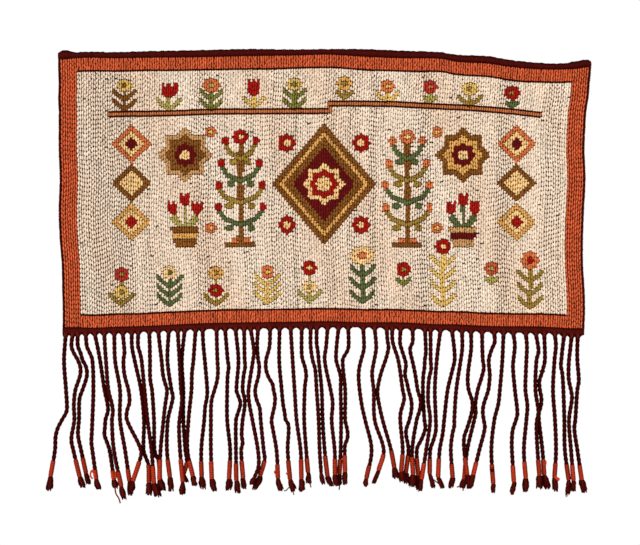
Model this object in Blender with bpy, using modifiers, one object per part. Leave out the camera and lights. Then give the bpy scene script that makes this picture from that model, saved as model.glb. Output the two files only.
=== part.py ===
"""A woven wall hanging: a thick wool cloth with a rolled heading along its top edge, a narrow
binding down each side, and a band along its foot from which 55 twisted cords hang.

The front faces -Y and +Z is up. The origin is at the middle of the top edge, in the cloth's
middle plane. Sizes are in metres, except in the tables, which are in whole millimetres.
"""

import math

import bmesh
import bpy
from mathutils import Vector

# Driving sizes
MM = 0.001
CLOTH_THICKNESS = 5.0 * MM
PIECE_GAP = 0.45 * MM
BINDING_WIDTH = 4.0 * MM
BINDING_DEPTH = 7.0 * MM
HEADING_DEPTH = 10.0 * MM
HEADING_SIDES = 10
END_ROUNDING = 0.6
BAND_DEPTH = 7.0 * MM
WAVE_DEPTH = 2.5 * MM
CLOTH_DROP = 556.0 * MM
NARROWEST_WIDTH = 1043.0 * MM
CLOTH_COLUMNS = 40
CLOTH_ROWS = 14
CORD_RADIUS = 3.7 * MM
CORD_ROOT_RADIUS = 4.3 * MM
CORD_ROOT_DEPTH = 6.0 * MM
WHIPPING_RADIUS = 3.9 * MM
TUFT_RADIUS = 4.8 * MM
TUFT_LENGTH = 20.0 * MM
LAYER_OFFSET = 4.1 * MM
TIP_LAYER_OFFSET = 5.0 * MM
BARE_END_LENGTH = 34

# The heights at which a cord's sway is given, in millimetres below the origin
CHEST_DROP = 622
WAIST_DROP = 682
KNEE_DROP = 742
ANKLE_DROP = 802
SWAY_STEP = 19
SWAY_START = 612

# The long edges, one row for each place along them, in millimetres:
# across from the middle, then how far below the origin each edge lies
LONG_EDGES = (
    # across, heading_top, heading_foot, cloth_foot, band_foot
    (-531, 6, 21, 556, 571),
    (-516, 2, 21, 556, 571),
    (-498, 6, 19, 556, 570),
    (-468, 5, 18, 557, 569),
    (-420, 6, 19, 555, 568),
    (-348, 4, 18, 553, 565),
    (-248, 2, 17, 548, 561),
    (-148, 0, 15, 546, 559),
    (-68, 1, 14, 545, 558),
    (12, 0, 12, 544, 557),
    (76, 0, 16, 546, 557),
    (152, 3, 19, 546, 559),
    (232, 6, 20, 550, 562),
    (264, 11, 26, 550, 563),
    (328, 14, 30, 553, 566),
    (368, 21, 36, 554, 567),
    (422, 27, 41, 554, 568),
    (472, 29, 42, 556, 569),
    (506, 24, 40, 558, 573),
    (524, 21, 37, 558, 573),
    (533, 25, 37, 558, 573),
)

# The side edges, one row for each height, in millimetres
SIDE_EDGES = (
    # drop, left, right
    (0, -532, 534),
    (40, -532, 534),
    (74, -531, 531),
    (98, -532, 529),
    (122, -531, 525),
    (150, -531, 523),
    (202, -531, 521),
    (260, -529, 523),
    (322, -531, 520),
    (380, -529, 518),
    (430, -525, 518),
    (480, -524, 521),
    (522, -523, 522),
    (572, -523, 520),
)

# The cords, left to right: how far each lies from the middle at its root, at four heights and at
# its tip, then how far down its whipping starts and how long that is (none where it is 0), in
# millimetres
CORDS = (
    # root, chest, waist, knee, ankle, tip, whipping_drop, whipping_length
    (-517, -521, -517, -525, -539, -548, 824, 31),
    (-503, -492, -497, -499, -501, -488, 821, 34),
    (-493, -484, -484, -491, -487, -477, 818, 31),
    (-477, -463, -461, -463, -463, -455, 841, 18),
    (-459, -449, -440, -438, -430, -421, 844, 18),
    (-440, -436, -431, -424, -420, -405, 845, 29),
    (-420, -419, -409, -409, -399, -390, 841, 24),
    (-403, -401, -391, -394, -366, -382, 825, 39),
    (-385, -380, -367, -361, -362, -351, 832, 36),
    (-372, -365, -359, -353, -345, -340, 834, 34),
    (-350, -349, -345, -341, -340, -329, 822, 38),
    (-332, -325, -314, -321, -327, -329, 821, 40),
    (-311, -314, -306, -313, -315, -309, 822, 35),
    (-293, -289, -286, -289, -288, -282, 820, 45),
    (-279, -285, -282, -282, -278, -282, 828, 24),
    (-257, -261, -265, -271, -273, -262, 823, 30),
    (-243, -239, -234, -240, -246, -245, 825, 31),
    (-215, -213, -219, -226, -226, -224, 824, 35),
    (-198, -193, -194, -194, -188, -190, 823, 37),
    (-177, -171, -175, -176, -176, -175, 828, 34),
    (-160, -159, -163, -163, -166, -162, 824, 34),
    (-147, -142, -151, -143, -132, -140, 824, 0),
    (-132, -132, -138, -127, -121, -128, 824, 30),
    (-108, -116, -101, -105, -95, -92, 830, 27),
    (-89, -90, -85, -77, -73, -68, 823, 38),
    (-67, -63, -59, -55, -47, -45, 820, 39),
    (-45, -43, -39, -40, -36, -32, 819, 28),
    (-27, -23, -15, -11, -9, -6, 814, 0),
    (-15, -11, -5, -3, 1, 7, 814, 41),
    (7, 1, 13, 15, 21, 22, 819, 31),
    (29, 24, 33, 34, 33, 31, 821, 30),
    (48, 37, 42, 42, 41, 42, 812, 33),
    (78, 74, 71, 82, 95, 85, 834, 25),
    (101, 100, 99, 101, 119, 109, 810, 32),
    (125, 123, 107, 117, 134, 141, 804, 34),
    (136, 148, 157, 152, 157, 154, 810, 34),
    (153, 162, 169, 171, 169, 164, 814, 34),
    (177, 176, 187, 185, 176, 178, 816, 35),
    (202, 202, 198, 201, 186, 189, 819, 35),
    (213, 213, 208, 212, 204, 195, 828, 32),
    (233, 226, 222, 224, 213, 212, 821, 29),
    (256, 261, 247, 240, 231, 228, 819, 37),
    (276, 274, 265, 261, 254, 258, 831, 27),
    (294, 291, 289, 291, 280, 286, 817, 34),
    (316, 318, 308, 301, 287, 281, 826, 35),
    (340, 329, 328, 319, 310, 298, 826, 25),
    (359, 357, 352, 341, 335, 339, 831, 39),
    (378, 378, 381, 383, 375, 379, 832, 33),
    (403, 405, 403, 405, 400, 404, 826, 33),
    (423, 424, 422, 425, 426, 430, 821, 31),
    (440, 442, 432, 430, 437, 441, 821, 31),
    (461, 460, 457, 461, 463, 460, 827, 29),
    (480, 475, 479, 481, 482, 490, 831, 31),
    (495, 489, 493, 489, 493, 498, 831, 31),
    (507, 507, 507, 503, 507, 516, 833, 29),
)

# Where else a cord bends, by its number from the left: how far down, then how far from the middle,
# in millimetres
BENDS = {
    1: ((718, -515), (728, -517), (760, -534), (777, -538)),
    2: ((594, -505), (608, -500), (636, -487), (650, -487), (664, -491), (712, -500), (780, -505)),
    3: ((595, -493), (608, -488), (636, -477), (652, -475), (668, -479), (700, -490), (772, -493)),
    4: ((595, -474), (606, -469), (766, -464), (786, -465)),
    5: ((710, -434), (724, -433), (756, -439), (772, -440), (787, -435)),
    6: ((710, -424), (726, -422)),
    8: ((606, -399), (645, -400), (660, -397), (706, -389), (724, -394), (824, -369)),
    9: ((596, -385), (816, -358), (833, -352)),
    10: ((594, -372), (608, -368)),
    11: ((652, -349), (666, -348), (816, -336), (826, -331)),
    12: ((652, -322), (668, -318), (714, -318)),
    13: ((696, -303), (712, -306)),
    14: ((700, -284), (756, -290)),
    15: ((828, -275),),
    16: ((648, -264),),
    17: ((590, -242), (700, -235), (714, -238)),
    18: ((646, -212), (664, -214), (704, -225)),
    19: ((636, -191), (652, -193)),
    20: ((694, -171), (707, -167), (718, -169), (730, -173)),
    21: ((636, -158), (652, -161), (700, -159), (716, -159), (772, -165), (788, -163)),
    22: ((604, -140), (704, -150), (834, -131)),
    23: ((592, -134), (632, -130), (652, -131), (702, -135), (718, -129), (822, -119)),
    24: ((594, -109), (640, -116), (656, -111), (670, -103), (696, -98), (712, -99), (756, -103)),
    25: ((712, -82), (728, -79), (750, -72), (764, -71)),
    27: ((610, -45), (638, -38), (654, -36), (670, -38)),
    28: ((594, -27), (640, -18)),
    29: ((590, -15), (602, -13)),
    30: ((594, 4), (708, 17)),
    31: ((594, 25), (640, 29), (656, 33)),
    32: ((590, 49), (602, 47), (616, 39), (642, 38), (756, 45), (768, 47), (780, 46), (790, 42)),
    33: ((592, 80), (604, 79), (640, 70), (656, 69), (716, 76)),
    34: ((596, 104), (612, 102), (644, 96), (656, 96)),
    35: ((584, 127), (596, 129), (608, 127), (652, 113), (700, 108)),
    36: ((586, 137), (698, 160), (712, 157), (726, 153)),
    37: ((588, 152), (600, 155), (632, 164), (652, 162), (668, 166), (706, 175), (722, 175), (766, 164)),
    38: ((586, 177), (598, 172), (610, 173), (650, 182), (704, 193), (722, 191)),
    39: ((606, 204), (640, 201), (652, 199), (758, 203), (770, 200), (782, 195)),
    40: ((640, 214), (658, 210), (706, 208)),
    41: ((764, 224), (784, 219)),
    42: ((598, 260), (644, 256), (770, 237)),
    43: ((598, 277), (754, 261), (772, 257)),
    44: ((598, 294), (644, 288), (664, 287), (704, 296), (722, 296), (758, 286), (776, 280)),
    45: ((638, 320), (656, 316), (712, 303), (728, 304)),
    46: ((586, 341), (600, 335), (652, 331), (666, 330), (710, 319), (726, 317), (758, 321)),
    47: ((710, 349),),
    48: ((592, 381), (636, 377), (728, 386), (760, 377), (778, 375)),
    49: ((594, 406), (644, 404), (714, 407)),
    50: ((592, 427), (606, 428), (726, 428), (756, 424)),
    51: ((648, 436), (664, 431), (698, 435), (714, 434), (728, 430)),
    52: ((592, 463),),
    53: ((634, 474), (650, 477)),
    54: ((648, 488), (664, 489), (698, 495)),
    55: ((664, 510), (760, 501)),
}

# The band's section: through its depth (-1 front, 1 back), then how far down its height
BAND_SECTION = ((-0.8, 0.0), (-1, 0.25), (-1, 0.7), (-0.5, 1), (0.5, 1), (1, 0.7), (1, 0.25), (0.8, 0.0))

# The binding's section: across its width (-1 outer edge, 1 inner edge), then through its depth
BINDING_SECTION = ((-1, -0.45), (-0.2, -1), (1, -0.8), (1, 0.8), (-0.2, 1), (-1, 0.45))

# The finishes: colour, roughness
FINISHES = {
    "wool_face": ((0.56, 0.40, 0.27), 0.92),
    "dark_heading": ((0.055, 0.012, 0.010), 0.85),
    "dark_binding": ((0.045, 0.010, 0.009), 0.88),
    "dark_cord": ((0.075, 0.016, 0.013), 0.86),
}


def clear_scene():
    """Remove whatever the file opens with, so that only the hanging is in it."""
    for old in list(bpy.data.objects):
        bpy.data.objects.remove(old, do_unlink=True)


def make_collection(name):
    """Add a collection to the scene."""
    collection = bpy.data.collections.new(name)
    bpy.context.scene.collection.children.link(collection)
    return collection


def make_material(name):
    """Give a piece its own plain finish."""
    colour, roughness = FINISHES[name]
    material = bpy.data.materials.new(name)
    material.use_nodes = True
    shader = material.node_tree.nodes["Principled BSDF"]
    shader.inputs["Base Color"].default_value = (*colour, 1.0)
    shader.inputs["Roughness"].default_value = roughness
    shader.inputs["Metallic"].default_value = 0.0
    material.diffuse_color = (*colour, 1.0)
    return material


def along(rows, column, place):
    """Read a table's column at a place given in the first column, on a smooth curve."""
    last = len(rows) - 2
    index = 0
    while index < last and rows[index + 1][0] < place:
        index += 1
    before = rows[max(index - 1, 0)]
    start = rows[index]
    end = rows[index + 1]
    after = rows[min(index + 2, len(rows) - 1)]
    span = end[0] - start[0]
    part = min(max((place - start[0]) / span, 0.0), 1.0)
    start_slope = (end[column] - before[column]) / (end[0] - before[0]) * span
    end_slope = (after[column] - start[column]) / (after[0] - start[0]) * span
    return (
        start[column] * (2 * part**3 - 3 * part**2 + 1)
        + start_slope * (part**3 - 2 * part**2 + part)
        + end[column] * (3 * part**2 - 2 * part**3)
        + end_slope * (part**3 - part**2)
    )


def long_edge(column, share):
    """The height of a long edge, at a share of the width from the left."""
    across = LONG_EDGES[0][0] + (LONG_EDGES[-1][0] - LONG_EDGES[0][0]) * share
    return -along(LONG_EDGES, column, across) * MM


def side_edges(height):
    """How far left and right the hanging reaches at a height."""
    drop = -height / MM
    return along(SIDE_EDGES, 1, drop) * MM, along(SIDE_EDGES, 2, drop) * MM


def wave(share, fall):
    """How far the cloth waves out of its flat plane, more towards its foot."""
    slow = math.sin(math.tau * (1.6 * share + 0.1))
    quick = 0.45 * math.sin(math.tau * (3.7 * share + 0.3) + 1.5 * fall)
    return WAVE_DEPTH * (0.45 + 0.55 * fall) * (slow + quick)


def hanging_point(share, height):
    """A point of the middle surface, at a share of the width and a height."""
    left, right = side_edges(height)
    fall = min(-height / CLOTH_DROP, 1.0)
    return Vector((left + (right - left) * share, wave(share, fall), height))


def column_share(column):
    """The share of the width at which a column of the cloth's grid stands, inside the bindings."""
    inset = (BINDING_WIDTH + PIECE_GAP) / NARROWEST_WIDTH
    return inset + (1.0 - 2.0 * inset) * column / CLOTH_COLUMNS


def roll_shares():
    """The shares of the width at which the heading and the band have a section."""
    return [0.0, *(column_share(column) for column in range(CLOTH_COLUMNS + 1)), 1.0]


def make_object(name, bm, collection, material_name):
    """Turn a finished mesh into a named piece with its own material."""
    bmesh.ops.recalc_face_normals(bm, faces=bm.faces)
    mesh = bpy.data.meshes.new(name)
    bm.to_mesh(mesh)
    bm.free()
    mesh.shade_smooth()
    mesh.set_sharp_from_angle(angle=math.radians(50))
    mesh.materials.append(make_material(material_name))
    piece = bpy.data.objects.new(name, mesh)
    collection.objects.link(piece)
    return piece


def loft(rings):
    """Join unlike rings of equal point counts into one closed body."""
    bm = bmesh.new()
    loops = []
    for ring in rings:
        loops.append([bm.verts.new(point) for point in ring])
    for near, far in zip(loops, loops[1:]):
        count = len(near)
        for index in range(count):
            following = (index + 1) % count
            bm.faces.new((near[index], near[following], far[following], far[index]))
    bm.faces.new(loops[0])
    bm.faces.new(list(reversed(loops[-1])))
    return bm


def make_cloth(collection):
    """The woven panel: a flat grid drawn to the hanging's outline, then thickened."""
    bpy.ops.mesh.primitive_grid_add(x_subdivisions=CLOTH_COLUMNS, y_subdivisions=CLOTH_ROWS, size=1.0)
    cloth = bpy.context.object
    cloth.name = "cloth"
    cloth.data.name = "cloth"
    for vertex in cloth.data.vertices:
        share = column_share((vertex.co.x + 0.5) * CLOTH_COLUMNS)
        fall = 0.5 - vertex.co.y
        top = long_edge(2, share) - PIECE_GAP
        foot = long_edge(3, share) + PIECE_GAP
        vertex.co = hanging_point(share, top + (foot - top) * fall)
    cloth.data.materials.append(make_material("wool_face"))
    cloth.data.shade_smooth()
    thicken = cloth.modifiers.new("Thickness", "SOLIDIFY")
    thicken.thickness = CLOTH_THICKNESS
    thicken.offset = 0.0
    for holder in list(cloth.users_collection):
        holder.objects.unlink(cloth)
    collection.objects.link(cloth)
    return cloth


def make_heading(collection):
    """The rolled heading: a flattened roll that follows the top edge and ends in full corners."""
    shares = roll_shares()
    rings = []
    for share in shares:
        top = long_edge(1, share)
        foot = long_edge(2, share)
        middle = (top + foot) / 2
        half_height = (top - foot) / 2
        half_depth = HEADING_DEPTH / 2
        if share in (shares[0], shares[-1]):
            half_height *= END_ROUNDING
            half_depth *= END_ROUNDING
        seat = hanging_point(share, foot)
        ring = []
        for side in range(HEADING_SIDES):
            angle = math.tau * side / HEADING_SIDES + math.pi / 2
            through = seat.y + math.cos(angle) * half_depth
            ring.append((seat.x, through, middle + math.sin(angle) * half_height))
        rings.append(ring)
    return make_object("heading", loft(rings), collection, "dark_heading")


def make_binding(name, is_left, collection):
    """A narrow wrapped edge down one side, from the heading to the band."""
    share = 0.0 if is_left else 1.0
    top = long_edge(2, share) - PIECE_GAP
    foot = long_edge(3, share) + PIECE_GAP
    rings = []
    for step in range(CLOTH_ROWS + 1):
        height = top + (foot - top) * step / CLOTH_ROWS
        outer = hanging_point(share, height)
        inward = 1.0 if is_left else -1.0
        centre = outer + Vector((inward * BINDING_WIDTH / 2, 0.0, 0.0))
        ring = []
        for across, through in BINDING_SECTION:
            offset = Vector((inward * across * BINDING_WIDTH / 2, through * BINDING_DEPTH / 2, 0.0))
            ring.append(centre + offset)
        rings.append(ring)
    return make_object(name, loft(rings), collection, "dark_binding")


def band_rings():
    """The sections of the narrow band along the foot of the cloth and the bindings."""
    rings = []
    for share in roll_shares():
        top = long_edge(3, share)
        foot = long_edge(4, share)
        seat = hanging_point(share, top)
        ring = []
        for through, fall in BAND_SECTION:
            ring.append((seat.x, seat.y + through * BAND_DEPTH / 2, top + (foot - top) * fall))
        rings.append(ring)
    return rings


def cord_path(number, cord):
    """The points and radii of one cord, from inside the band down to its frayed tip."""
    root, chest, waist, knee, ankle, tip, whipping_drop, whipping_length = cord
    left, right = side_edges(-570 * MM)
    share = (root * MM - left) / (right - left)
    band_foot = -long_edge(4, share) / MM
    tip_drop = whipping_drop + (whipping_length or BARE_END_LENGTH)
    bends = BENDS.get(number + 1, ())
    heights = (CHEST_DROP, chest), (WAIST_DROP, waist), (KNEE_DROP, knee), (ANKLE_DROP, ankle)
    sway = sorted(((band_foot, root), *heights, *bends, (tip_drop, tip)))
    layer = -1 if number % 2 else 1
    swell = WHIPPING_RADIUS if whipping_length else CORD_RADIUS
    stations = (
        # drop, layer offset, radius
        (band_foot - CORD_ROOT_DEPTH / MM, 0.0, CORD_ROOT_RADIUS),
        (band_foot + 2, 0.0, CORD_ROOT_RADIUS),
        (band_foot + 9, 0.25 * LAYER_OFFSET, CORD_RADIUS),
        (band_foot + 30, LAYER_OFFSET, CORD_RADIUS),
        *((drop, LAYER_OFFSET, CORD_RADIUS) for drop in range(SWAY_START, ANKLE_DROP + 1, SWAY_STEP)),
        (max(whipping_drop, ANKLE_DROP + 6), LAYER_OFFSET, swell),
        (tip_drop, TIP_LAYER_OFFSET, swell),
        (tip_drop + 0.55 * TUFT_LENGTH / MM, TIP_LAYER_OFFSET, TUFT_RADIUS),
        (tip_drop + TUFT_LENGTH / MM, TIP_LAYER_OFFSET, TUFT_RADIUS * 0.8),
    )
    lean = (tip - ankle) / (tip_drop - ANKLE_DROP)
    base_depth = wave(share, 1.0)
    path = []
    for drop, offset, radius in stations:
        across = along(sway, 1, max(drop, band_foot))
        across += max(drop - tip_drop, 0) * lean * 0.6
        path.append(((across * MM, base_depth + layer * offset, -drop * MM), radius))
    return path


def make_cord_mesh(number, cord):
    """One cord as a four-sided tube."""
    path = cord_path(number, cord)
    curve = bpy.data.curves.new("cord", "CURVE")
    curve.dimensions = "3D"
    curve.fill_mode = "FULL"
    curve.bevel_depth = 1.0
    curve.bevel_resolution = 0
    curve.use_fill_caps = True
    spline = curve.splines.new("POLY")
    spline.points.add(len(path) - 1)
    for point, (place, radius) in zip(spline.points, path):
        point.co = (*place, 1.0)
        point.radius = radius
    tube = bpy.data.objects.new("cord", curve)
    bpy.context.scene.collection.objects.link(tube)
    bpy.context.view_layer.update()
    evaluated = tube.evaluated_get(bpy.context.evaluated_depsgraph_get())
    mesh = bpy.data.meshes.new_from_object(evaluated)
    bpy.data.objects.remove(tube, do_unlink=True)
    return mesh


def make_fringe(collection, helpers):
    """The band with its cords: the cords stand apart and are fused to the band at their roots."""
    band = make_object("fringe", loft(band_rings()), collection, "dark_cord")
    bm = bmesh.new()
    for number, cord in enumerate(CORDS):
        mesh = make_cord_mesh(number, cord)
        bm.from_mesh(mesh)
        bpy.data.meshes.remove(mesh)
    bmesh.ops.remove_doubles(bm, verts=bm.verts, dist=0.01 * MM)
    cords = make_object("cords_to_join", bm, helpers, "dark_cord")
    cords.hide_render = True
    cords.display_type = "WIRE"
    join = band.modifiers.new("Cords", "BOOLEAN")
    join.operation = "UNION"
    join.solver = "EXACT"
    join.object = cords
    return band


def main():
    clear_scene()
    collection = make_collection("tapestry")
    helpers = make_collection("helpers")
    make_cloth(collection)
    make_heading(collection)
    make_binding("binding_left", True, collection)
    make_binding("binding_right", False, collection)
    make_fringe(collection, helpers)


main()
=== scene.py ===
# %% [markdown]
# # Dressing a woven wall hanging
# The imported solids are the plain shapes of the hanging: a thick cloth, a rolled heading, two bound
# sides and a fringe fused to its band. This lesson gives them their wool. It loads the solids as a
# fixed frame, so that every stitch and thread that follows is placed by measure and not by eye.

# %% Load the solids
import math

import bpy
import numpy as np
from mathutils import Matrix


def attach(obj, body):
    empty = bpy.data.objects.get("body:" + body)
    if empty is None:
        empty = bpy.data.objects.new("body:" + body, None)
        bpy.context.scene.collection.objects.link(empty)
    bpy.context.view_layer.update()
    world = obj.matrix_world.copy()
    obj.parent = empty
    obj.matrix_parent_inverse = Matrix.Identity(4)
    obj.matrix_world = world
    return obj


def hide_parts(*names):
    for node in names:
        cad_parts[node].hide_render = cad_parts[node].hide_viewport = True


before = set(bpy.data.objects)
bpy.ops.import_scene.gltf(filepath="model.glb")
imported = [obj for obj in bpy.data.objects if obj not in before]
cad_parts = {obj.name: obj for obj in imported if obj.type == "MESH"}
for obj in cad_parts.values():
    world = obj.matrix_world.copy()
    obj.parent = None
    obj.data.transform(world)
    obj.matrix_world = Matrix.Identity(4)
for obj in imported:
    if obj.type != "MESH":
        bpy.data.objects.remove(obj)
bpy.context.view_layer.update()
MM = 0.001
TAU = math.tau

# %% [markdown]
# ## The hanging's measures
# A weaver would note where each edge runs and how each cord falls. The same notes drive the solids,
# so they are repeated here, in whole millimetres. A drop is measured downwards from the origin,
# which lies at the middle of the top edge.

# %% Note the long edges
LONG_EDGES = (
    # across, heading_top, heading_foot, cloth_foot, band_foot
    (-531, 6, 21, 556, 571),
    (-516, 2, 21, 556, 571),
    (-498, 6, 19, 556, 570),
    (-468, 5, 18, 557, 569),
    (-420, 6, 19, 555, 568),
    (-348, 4, 18, 553, 565),
    (-248, 2, 17, 548, 561),
    (-148, 0, 15, 546, 559),
    (-68, 1, 14, 545, 558),
    (12, 0, 12, 544, 557),
    (76, 0, 16, 546, 557),
    (152, 3, 19, 546, 559),
    (232, 6, 20, 550, 562),
    (264, 11, 26, 550, 563),
    (328, 14, 30, 553, 566),
    (368, 21, 36, 554, 567),
    (422, 27, 41, 554, 568),
    (472, 29, 42, 556, 569),
    (506, 24, 40, 558, 573),
    (524, 21, 37, 558, 573),
    (533, 25, 37, 558, 573),
)
HEADING_TOP, HEADING_FOOT, CLOTH_FOOT, BAND_FOOT = 1, 2, 3, 4
print(len(LONG_EDGES), "places along the long edges")

# %% Note the side edges
SIDE_EDGES = (
    # drop, left, right
    (0, -532, 534),
    (40, -532, 534),
    (74, -531, 531),
    (98, -532, 529),
    (122, -531, 525),
    (150, -531, 523),
    (202, -531, 521),
    (260, -529, 523),
    (322, -531, 520),
    (380, -529, 518),
    (430, -525, 518),
    (480, -524, 521),
    (522, -523, 522),
    (572, -523, 520),
)
print(len(SIDE_EDGES), "heights along the side edges")

# %% Note the cords
ROOT, CHEST, ANKLE, TIP, WHIPPING_DROP, WHIPPING_LENGTH = 0, 1, 4, 5, 6, 7
CORDS = (
    # root, chest, waist, knee, ankle, tip, whipping_drop, whipping_length
    (-517, -521, -517, -525, -539, -548, 824, 31),
    (-503, -492, -497, -499, -501, -488, 821, 34),
    (-493, -484, -484, -491, -487, -477, 818, 31),
    (-477, -463, -461, -463, -463, -455, 841, 18),
    (-459, -449, -440, -438, -430, -421, 844, 18),
    (-440, -436, -431, -424, -420, -405, 845, 29),
    (-420, -419, -409, -409, -399, -390, 841, 24),
    (-403, -401, -391, -394, -366, -382, 825, 39),
    (-385, -380, -367, -361, -362, -351, 832, 36),
    (-372, -365, -359, -353, -345, -340, 834, 34),
    (-350, -349, -345, -341, -340, -329, 822, 38),
    (-332, -325, -314, -321, -327, -329, 821, 40),
    (-311, -314, -306, -313, -315, -309, 822, 35),
    (-293, -289, -286, -289, -288, -282, 820, 45),
    (-279, -285, -282, -282, -278, -282, 828, 24),
    (-257, -261, -265, -271, -273, -262, 823, 30),
    (-243, -239, -234, -240, -246, -245, 825, 31),
    (-215, -213, -219, -226, -226, -224, 824, 35),
    (-198, -193, -194, -194, -188, -190, 823, 37),
    (-177, -171, -175, -176, -176, -175, 828, 34),
    (-160, -159, -163, -163, -166, -162, 824, 34),
    (-147, -142, -151, -143, -132, -140, 824, 0),
    (-132, -132, -138, -127, -121, -128, 824, 30),
    (-108, -116, -101, -105, -95, -92, 830, 27),
    (-89, -90, -85, -77, -73, -68, 823, 38),
    (-67, -63, -59, -55, -47, -45, 820, 39),
    (-45, -43, -39, -40, -36, -32, 819, 28),
    (-27, -23, -15, -11, -9, -6, 814, 0),
    (-15, -11, -5, -3, 1, 7, 814, 41),
    (7, 1, 13, 15, 21, 22, 819, 31),
    (29, 24, 33, 34, 33, 31, 821, 30),
    (48, 37, 42, 42, 41, 42, 812, 33),
    (78, 74, 71, 82, 95, 85, 834, 25),
    (101, 100, 99, 101, 119, 109, 810, 32),
    (125, 123, 107, 117, 134, 141, 804, 34),
    (136, 148, 157, 152, 157, 154, 810, 34),
    (153, 162, 169, 171, 169, 164, 814, 34),
    (177, 176, 187, 185, 176, 178, 816, 35),
    (202, 202, 198, 201, 186, 189, 819, 35),
    (213, 213, 208, 212, 204, 195, 828, 32),
    (233, 226, 222, 224, 213, 212, 821, 29),
    (256, 261, 247, 240, 231, 228, 819, 37),
    (276, 274, 265, 261, 254, 258, 831, 27),
    (294, 291, 289, 291, 280, 286, 817, 34),
    (316, 318, 308, 301, 287, 281, 826, 35),
    (340, 329, 328, 319, 310, 298, 826, 25),
    (359, 357, 352, 341, 335, 339, 831, 39),
    (378, 378, 381, 383, 375, 379, 832, 33),
    (403, 405, 403, 405, 400, 404, 826, 33),
    (423, 424, 422, 425, 426, 430, 821, 31),
    (440, 442, 432, 430, 437, 441, 821, 31),
    (461, 460, 457, 461, 463, 460, 827, 29),
    (480, 475, 479, 481, 482, 490, 831, 31),
    (495, 489, 493, 489, 493, 498, 831, 31),
    (507, 507, 507, 503, 507, 516, 833, 29),
)
CHEST_DROP, WAIST_DROP, KNEE_DROP, ANKLE_DROP = 622, 682, 742, 802
print(len(CORDS), "cords")

# %% Note where else they bend
BENDS = {
    1: ((718, -515), (728, -517), (760, -534), (777, -538)),
    2: ((594, -505), (608, -500), (636, -487), (650, -487), (664, -491), (712, -500), (780, -505)),
    3: ((595, -493), (608, -488), (636, -477), (652, -475), (668, -479), (700, -490), (772, -493)),
    4: ((595, -474), (606, -469), (766, -464), (786, -465)),
    5: ((710, -434), (724, -433), (756, -439), (772, -440), (787, -435)),
    6: ((710, -424), (726, -422)),
    8: ((606, -399), (645, -400), (660, -397), (706, -389), (724, -394), (824, -369)),
    9: ((596, -385), (816, -358), (833, -352)),
    10: ((594, -372), (608, -368)),
    11: ((652, -349), (666, -348), (816, -336), (826, -331)),
    12: ((652, -322), (668, -318), (714, -318)),
    13: ((696, -303), (712, -306)),
    14: ((700, -284), (756, -290)),
    15: ((828, -275),),
    16: ((648, -264),),
    17: ((590, -242), (700, -235), (714, -238)),
    18: ((646, -212), (664, -214), (704, -225)),
    19: ((636, -191), (652, -193)),
    20: ((694, -171), (707, -167), (718, -169), (730, -173)),
    21: ((636, -158), (652, -161), (700, -159), (716, -159), (772, -165), (788, -163)),
    22: ((604, -140), (704, -150), (834, -131)),
    23: ((592, -134), (632, -130), (652, -131), (702, -135), (718, -129), (822, -119)),
    24: ((594, -109), (640, -116), (656, -111), (670, -103), (696, -98), (712, -99), (756, -103)),
    25: ((712, -82), (728, -79), (750, -72), (764, -71)),
    27: ((610, -45), (638, -38), (654, -36), (670, -38)),
    28: ((594, -27), (640, -18)),
    29: ((590, -15), (602, -13)),
    30: ((594, 4), (708, 17)),
    31: ((594, 25), (640, 29), (656, 33)),
    32: ((590, 49), (602, 47), (616, 39), (642, 38), (756, 45), (768, 47), (780, 46), (790, 42)),
    33: ((592, 80), (604, 79), (640, 70), (656, 69), (716, 76)),
    34: ((596, 104), (612, 102), (644, 96), (656, 96)),
    35: ((584, 127), (596, 129), (608, 127), (652, 113), (700, 108)),
    36: ((586, 137), (698, 160), (712, 157), (726, 153)),
    37: ((588, 152), (600, 155), (632, 164), (652, 162), (668, 166), (706, 175), (722, 175), (766, 164)),
    38: ((586, 177), (598, 172), (610, 173), (650, 182), (704, 193), (722, 191)),
    39: ((606, 204), (640, 201), (652, 199), (758, 203), (770, 200), (782, 195)),
    40: ((640, 214), (658, 210), (706, 208)),
    41: ((764, 224), (784, 219)),
    42: ((598, 260), (644, 256), (770, 237)),
    43: ((598, 277), (754, 261), (772, 257)),
    44: ((598, 294), (644, 288), (664, 287), (704, 296), (722, 296), (758, 286), (776, 280)),
    45: ((638, 320), (656, 316), (712, 303), (728, 304)),
    46: ((586, 341), (600, 335), (652, 331), (666, 330), (710, 319), (726, 317), (758, 321)),
    47: ((710, 349),),
    48: ((592, 381), (636, 377), (728, 386), (760, 377), (778, 375)),
    49: ((594, 406), (644, 404), (714, 407)),
    50: ((592, 427), (606, 428), (726, 428), (756, 424)),
    51: ((648, 436), (664, 431), (698, 435), (714, 434), (728, 430)),
    52: ((592, 463),),
    53: ((634, 474), (650, 477)),
    54: ((648, 488), (664, 489), (698, 495)),
    55: ((664, 510), (760, 501)),
}
print("cords with more bends:", len(BENDS))

# %% [markdown]
# ## A smooth line through the notes
# Straight runs between the noted places would leave corners in a soft edge. A spline modifier could
# smooth them, but stitches need the edge's place at any point. A cubic through each pair of notes,
# with slopes taken from their neighbours, gives that for thousands of places at once.

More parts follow.
